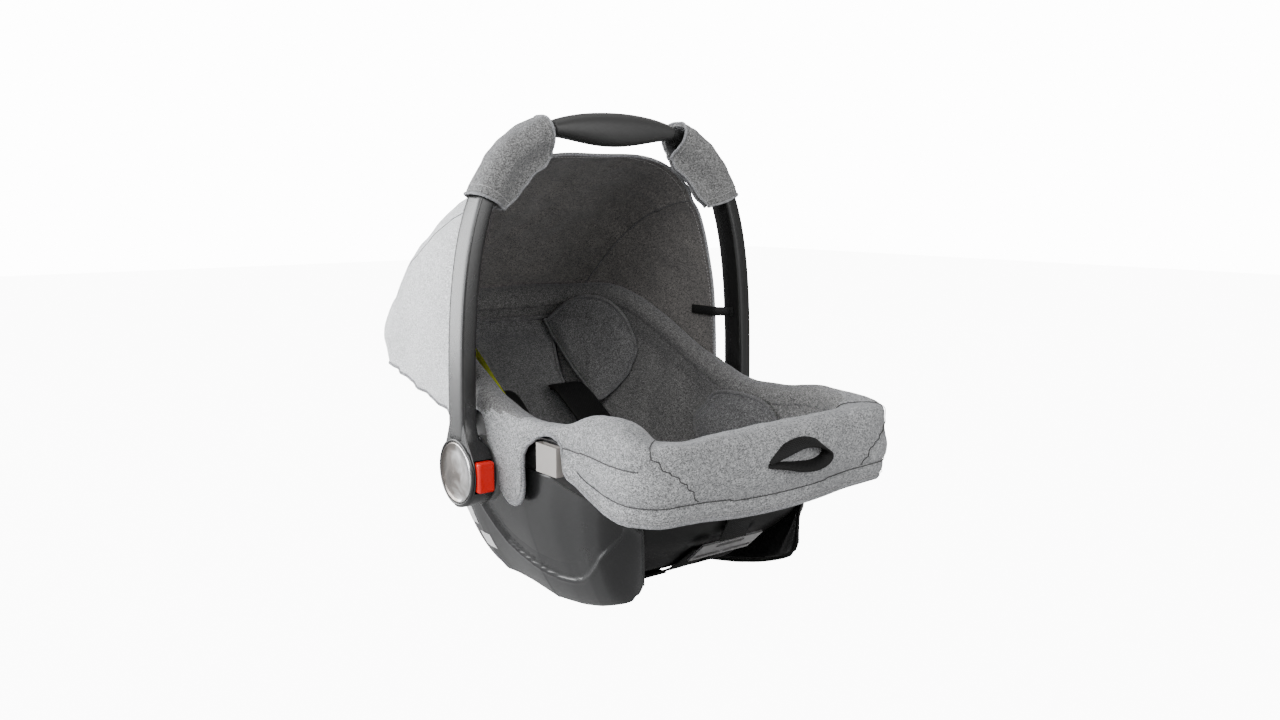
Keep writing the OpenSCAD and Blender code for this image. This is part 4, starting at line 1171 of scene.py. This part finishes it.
def pad_outline(kind, q):
    """Outline of a pad as angle and row on the bucket: the head pad is a D, straight inside."""
    if kind == "head":
        closed = curve(HEAD_PAD_EDGE + HEAD_PAD_EDGE[:1], 12)
        along = np.linspace(0, len(closed) - 1, len(q), endpoint=False)
        return np.stack([np.interp(along, np.arange(len(closed)), closed[:, k]) for k in (0, 1)])
    c, s = np.cos(q), np.sin(q)
    return np.stack([-17 + 11 * spow(c, 0.85), 0.19 - 0.185 * spow(s, 0.85)])


HEAD_PAD_EDGE = [
    (21.5, 0.20), (24, 0.09), (29, 0.03), (35, 0.008), (43, 0.008), (50, 0.05), (56, 0.15), (47, 0.31),
    (39, 0.42), (34.5, 0.49), (29.5, 0.46), (24.5, 0.38), (20.5, 0.29)
]
PAD_CENTRE = {"head": (33.0, 0.26), "hip": (-17.0, 0.19)}


def pad_depth(kind, a, t):
    """How far from the bucket's outer surface a pad's underside lies."""
    if kind == "hip":
        return INSERT_AT + 8 + np.zeros_like(a)
    rest = insert_face(t) - insert_face(0.27)
    return mix(27.0, 40.0 + 0.55 * rest, smooth((a - 20) / 26))


def build_pad(name, side, kind, height):
    """A crowned pad lying on the bucket's wall, with a piped edge and a set-in seam."""
    q = np.arange(72) * 2 * math.pi / 72
    rings = [0.02, 0.2, 0.4, 0.58, 0.72, 0.82, 0.9, 0.96, 1.0]
    edge_a, edge_t = pad_outline(kind, q)
    centre_a, centre_t = PAD_CENTRE[kind]
    top, base = [], []
    for k in rings:
        a, t = mix(centre_a, edge_a, k), mix(centre_t, edge_t, k)
        rise = height * (1 - k**4 * 0.92)
        rise = rise - 2.2 * bell(k - 0.82, 0.035)
        lift = pad_depth(kind, a, t)
        top.append(bucket_in(a, t, lift + rise))
        base.append(bucket_in(a, t, lift))
    g = np.stack(top + base[::-1])
    fold = wrinkle(g, 22, 1.6, seed=side * 3.0 + centre_a)
    n = normals_of(g, wrap_cols=True)
    g = g + n * fold[..., None] * 0.6
    if side < 0:
        g = mirror_x(g)
    obj = grid(
        name + "_fabric", g, INSERT, "shell", wrap_cols=True, caps=True, replaces=[name], flip=side < 0
    )
    pins = np.zeros(g.shape[:2])
    pins[len(rings) - 2 :] = 1.0
    pins[5] = 0.75
    cloth(obj, pins.ravel(), pressure=4.0, cap=6.0, stiff=10)
    modifier = obj.modifiers.new("subdivision", "SUBSURF")
    modifier.levels = modifier.render_levels = 1
    settle(obj)
    tube(name + "_piping", g[len(rings) - 1], 2.6, DARK_BINDING, "shell", sides=8, closed=True)


# ---------------------------------------------------------------- canopy
HOOD = [
    (0, 361, 190, 3.5), (15, 347, 190, 4), (30, 338, 189, 5), (45, 340, 188, 6), (56, 353, 186, 6),
    (62, 369, 184, 6), (68, 373, 180, 6), (76, 368, 176, 5)
]
HOOD_HEM = [(60, 55), (90, 61), (175, 68), (304, 74), (360, 76)]


def hood_grid(b, v, inset):
    """b runs across from the right hem to the left hem, v from the front edge to the rear hem."""
    v, b = v[:, None], b[None, :]
    h = 76 * v
    reach = softened(h, HOOD, 1, 5.0) - inset
    wide = softened(h, HOOD, 2, 5.0) - inset
    p = lookup(h, HOOD, 3)
    low = np.degrees(np.arcsin(62 / reach * 0.98))
    q = np.radians(mix(low, 180 - low, b))
    k = (np.abs(np.cos(q)) ** p + np.abs(np.sin(q)) ** p) ** (-1 / p)
    r = reach * np.sin(q) * k
    angle = np.radians(v * lookup(r, HOOD_HEM))
    return np.stack(
        [wide * np.cos(q) * k, PIVOT_Y + 23 * (1 - v) + r * np.sin(angle), PIVOT_Z + r * np.cos(angle)],
        axis=-1
    )


def build_canopy():
    b = np.linspace(0, 1, 170)
    v = np.linspace(0, 1, 74)
    outer = hood_grid(b, v, 0.0)
    n = unit(np.cross(np.gradient(outer, axis=1), np.gradient(outer, axis=0)))
    centre = np.array([0, 60, 260.0])
    n = n * np.sign(((outer - centre) * n).sum(-1).mean())
    across, back = b[None, :], v[:, None]
    edge = np.minimum(np.minimum(back, 1 - back) * 12, 1.0)
    sides = bell(np.minimum(across, 1 - across) - 0.23, 0.012)
    sag = 3.6 * np.sin(math.pi * np.clip(back, 0, 1)) * np.sin(math.pi * across) * 0.5
    fold = wrinkle(
        outer, 75, 7.0, seed=6.0, stretch=(1, 0.6, 1)
    ) * edge + wrinkle(outer, 24, 2.2, seed=2.0) * edge
    gather = bell(1 - back, 0.075)
    ripple = 1.5 * np.sin(across * 150) * gather + 0.8 * np.sin(across * 261 + 1.0) * gather
    # the sides only fold outwards where they hang over the rim
    over = smooth((0.16 - np.minimum(across, 1 - across)) / 0.05)
    fold = mix(fold, np.maximum(fold, 0.0) * 0.6, over)
    outer = outer + n * (fold - 3.0 * sides - sag * (1 - over) - 2.0 * (1 - over) + ripple)[..., None]
    # the front edge dips between the two corner wraps
    dip = 7.0 * np.cos(math.pi * np.clip((across - 0.5) / 0.24, -0.5, 0.5)) ** 2 * bell(back, 0.10)
    outer[..., 2] -= dip * 0.2
    inner = outer - n * 1.8
    obj = slab(
        "canopy_cloth", outer, inner, HOOD_OUT, None, mats=[HOOD_OUT, HOOD_IN], replaces=["canopy"]
    )
    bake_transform(obj)

    def trim(name, path, r, mat, **more):
        piece = tube(name, path, r, mat, None, slot="cover_fabric", **more)
        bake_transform(piece)

    trim("canopy_front_binding", outer[0] - n[0] * 0.8, 2.1, BINDING)
    hem = np.concatenate([outer[:, 0], outer[-1, 1:-1], outer[::-1, -1]])
    trim("canopy_hem_binding", hem, 2.0, BINDING)
    for name, column in (("right", 39), ("left", 130)):
        trim("canopy_%s_seam" % name, inner[:, column] - n[:, column] * 0.2, 0.9, DARK_BINDING)
        trim("canopy_%s_outer_seam" % name, outer[:, column] + n[:, column] * 0.1, 0.55, SEAM)
    stitches = dashes(outer[2] + n[2] * 0.3, 3.0, 1.5) + dashes(inner[2] - n[2] * 0.3, 3.0, 1.5)
    piece = tubes("canopy_stitches", stitches, 0.4, THREAD, None)
    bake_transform(piece)
    # tabs sewn inside the side edges, which reach forward to the legs
    paths = []
    for side in (-1, 1):
        path = curve(
            [
                [183.4, 65, 0], [183.0, 40, 0], [183.6, 20, 0], [189, 12.5, 0], [195.2, 5, 0],
                [195.2, -4, 0]
            ],
            6
        )
        path = path * [side, 1, 1] + [0, PIVOT_Y, PIVOT_Z + 154]
        paths.append(ribbon_grid(path, (0, 0, 1), 12, 1.4))
    verts = np.concatenate([g.reshape(-1, 3) for g in paths])
    rows, around = paths[0].shape[:2]
    faces = []
    for k in range(2):
        first = k * rows * around
        faces += grid_faces(rows, around, wrap_cols=True, first=first, flip=k == 0)
        ends = [
            list(range(first, first + around)),
            list(range(first + (rows - 1) * around, first + rows * around))
        ]
        faces += [tuple(ends[0][:: 1 if k == 0 else -1]), tuple(ends[1][:: -1 if k == 0 else 1])]
    uvs = np.concatenate([grid_uv(g) for g in paths])
    piece = make("canopy_leg_tabs", verts, faces, WEBBING, None, uvs=uvs, replaces=["canopy_tabs"])
    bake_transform(piece)


# ---------------------------------------------------------------- harness
SLOT = np.array([60.0, 205.0, 165.0])
BUCKLE = np.array([0.0, -96.0, 82.0])
LEAN = math.radians(-20)
WEB_W, WEB_T, WEB_X, PASS_X = 38.0, 2.0, 21.0, 38.0


def from_buckle(p):
    p = np.asarray(p, float)
    c, s = math.cos(LEAN), math.sin(LEAN)
    return BUCKLE + np.stack(
        [p[..., 0], p[..., 1] * c - p[..., 2] * s, p[..., 1] * s + p[..., 2] * c], axis=-1
    )


def under(a, t, x, gap=2.4):
    p = bucket_in(float(a), float(t), -gap)
    return np.array([x, p[1], p[2]])


TONGUE_SLOT = np.array([26.0, 0.0, 37.0])


def shoulder_path(rise, spread):
    points = [
        under(270, 0.52, WEB_X), under(270, 0.66, WEB_X + 6), under(270, 0.86, PASS_X),
        under(270, 1, PASS_X) + [0, 14, -1], under(90, 1, PASS_X) + [0, -14, -1], under(90, 0.84, PASS_X),
        under(90, 0.66, PASS_X), under(90, 0.53, SLOT[0] - 6), SLOT + [0, 21, -21], SLOT + [0, -14, 14],
        SLOT + [-4, -52, 30 + rise * 0.16], [50 + spread * 0.6, 80, 150 + rise * 0.8],
        [42 + spread, 20, 145 + rise], [34 + spread * 0.8, -30, 135 + rise * 0.7],
        from_buckle(TONGUE_SLOT + [3, 4, 26]), from_buckle(TONGUE_SLOT)
    ]
    return curve(points, 10)


def lap_path():
    return curve(
        [
            from_buckle(TONGUE_SLOT), from_buckle(TONGUE_SLOT + [16, -6, 5]), [66, -72, 116],
            [92, -58, 104], [106, -48, 100]
        ],
        10
    )


def ribbon(name, path, side, width, thick, mat, mirrored=False, **more):
    g = ribbon_grid(path, side, width, thick)
    if mirrored:
        g = mirror_x(g)
    return grid(name, g, mat, "shell", wrap_cols=True, caps=True, flip=mirrored, **more)


def build_harness():
    for label, mirrored, rise, spread in (("left", True, -14, 0), ("right", False, -4, 22)):
        path = shoulder_path(rise, spread)
        ribbon(
            label + "_shoulder_webbing", path, (1, 0, 0), WEB_W, WEB_T, WEBBING, mirrored=mirrored,
            replaces=[label + "_harness_webbing"]
        )
        ribbon(
            label + "_lap_webbing", lap_path(), (0, 1, 0.6), WEB_W - 12, WEB_T, WEBBING, mirrored=mirrored
        )
        piece = path[97:136]
        _, s, f = frames_along(piece, side=(1, 0, 0))
        section = [
            (27, 0), (25.5, 2.6), (20, 3.4), (8, 3.9), (-8, 3.9), (-20, 3.4), (-25.5, 2.6), (-27, 0),
            (-25, -2.4), (-10, -2.9), (10, -2.9), (25, -2.4)
        ]
        k = np.linspace(0, 1, len(piece))
        ends = np.minimum(1, np.minimum(k, 1 - k) * 14 + 0.35)
        g = np.stack(
            [
                piece - f * 4.4 + s * (u * (0.88 + 0.12 * ends))[:, None] + f * (w * ends)[:, None] for u,
                w in section
            ],
            axis=1
        )
        fold = wrinkle(g, 20, 1.0, seed=1.0)
        g = g + f[:, None] * fold[..., None]
        if mirrored:
            g = mirror_x(g)
        pad = grid(
            label + "_shoulder_pad", g, PULL, "shell", wrap_cols=True, caps=True, flip=mirrored, sub=1,
            replaces=[label + "_shoulder_cover"]
        )
    path = curve(
        [
            [0, -114, 10.5], [0, -97, 11], [0, -92, 18], [0, -92, 40], [0, -95, 47],
            [0, BUCKLE[1] - 7, BUCKLE[2] - 24.5]
        ],
        8
    )
    ribbon("crotch_webbing", path, (1, 0, 0), WEB_W - 4, WEB_T, WEBBING, replaces=["crotch_strap"])
    low, high = box_mm("crotch_pad")
    g = rounded_box(low, high, 4.0)
    pad = grid(
        "crotch_pad_fabric", g, INSERT, "shell", wrap_cols=True, caps=True, flip=True, sub=1,
        replaces=["crotch_pad"]
    )
    strap = curve(
        [
            bucket_in(270.0, 0.46, -9), bucket_in(270.0, 0.42, -5), bucket_in(270.0, 0.37, -3),
            bucket_in(270.0, 0.36, 12), bucket_in(270.0, 0.34, 29), bucket_in(270.0, 0.25, 31),
            [0, -284, 178], [0, -292, 186], [0, -303, 188.6], [0, -317, 188.6], [0, -329, 188.6]
        ],
        8
    )
    ribbon("adjuster_webbing", strap, (1, 0, 0), WEB_W, WEB_T, WEBBING, replaces=["adjuster_strap"])
    # pull loop: a tape on its edge that leaves the slot, opens and comes back
    loop = curve(
        [
            [-27, -329, 199], [-9, -335, 206.5], [14, -339, 213], [36, -340, 209], [49, -339, 199.5],
            [48, -338, 191], [32, -338, 186.5], [10, -337, 188], [-9, -334, 192.5], [-27, -329, 196]
        ],
        9
    )
    ribbon("pull_loop_tape", loop, (0.45, -1, -0.75), 15, 2.4, PULL, replaces=["pull_loop"])


def build_rim_tag():
    """Blank yellow and white tab sewn inside the left rim."""
    a = np.linspace(164, 184, 22)
    sag = 0.05 * np.linspace(0, 1, len(a)) ** 2 - 0.02
    for index, (low, high, value, tint) in enumerate(
        ((0.015, 0.07, 0.70, (0.92, 1.0, 0.10)), (0.07, 0.095, 0.85, (1, 1, 1)))
    ):
        rows = np.linspace(low, high, 5)
        g = np.stack([bucket_in(a, t + sag, np.full_like(a, 29.0)) + [0, 0, 6] for t in rows])
        paper = moulded("tab_paper_%d" % index, value, tint=tint, rough=0.5, grain=0.05)
        grid("rim_tab_%d" % index, g, paper, "shell")


def paint(mat, *names):
    for name in names:
        obj = nodes[name]
        obj.data.materials.clear()
        obj.data.materials.append(mat)


def build_seams(final, n, lines):
    flat = final.reshape(-1, 3)
    for index, points in enumerate(lines):
        near = [int(np.argmin(((flat - p) ** 2).sum(1))) for p in points]
        seat = points * 0.4 + flat[near] * 0.6 + n.reshape(-1, 3)[near] * 0.35
        tube("cover_seam_%d" % index, curve(seat, 2), 0.55, SEAM, "shell", sides=6)


build_handle()
for side, word in ((-1, "left"), (1, "right")):
    build_hub(side, word + "_hub")
    build_button(word + "_release_button")
    build_wrap(side, word + "_handle_pad_wrap")
    build_panel(side, word + "_rocker_panel")
build_shell()
cover_final, cover_n, cover_lines = build_cover()
build_seams(cover_final, cover_n, cover_lines)
build_liner()
build_insert()
for side, word in ((-1, "left"), (1, "right")):
    build_pad(word + "_head_pad", side, "head", 15)
    build_pad(word + "_hip_pad", side, "hip", 12)
build_canopy()
build_harness()
build_rim_tag()
build_label("sticker", -1, (-221, -175), (140, 162), 0.62, (1, 1, 1))
build_label("band_label_upper", -1, (40, 60), (66, 94), 0.6, (1, 1, 1))
build_label("band_label_lower", -1, (22, 46), (36, 56), 0.6, (1, 1, 1))

paint(GEAR, "left_hub_socket", "right_hub_socket", "left_lock_gear", "right_lock_gear")
paint(GUIDE, "left_belt_guide", "right_belt_guide", "rear_belt_guide")
paint(FOAM, "foam_liner")
paint(RED, "buckle_button")
paint(SHELL, "buckle_housing")
paint(
    STEEL, "pivot_studs", "stud_nuts", "socket_screws", "left_tongue", "right_tongue", "buckle_spring",
    "harness_yoke", "adjuster_lever", "adjuster_pin", "left_lock_spring", "right_lock_spring",
    "adjuster_base"
)
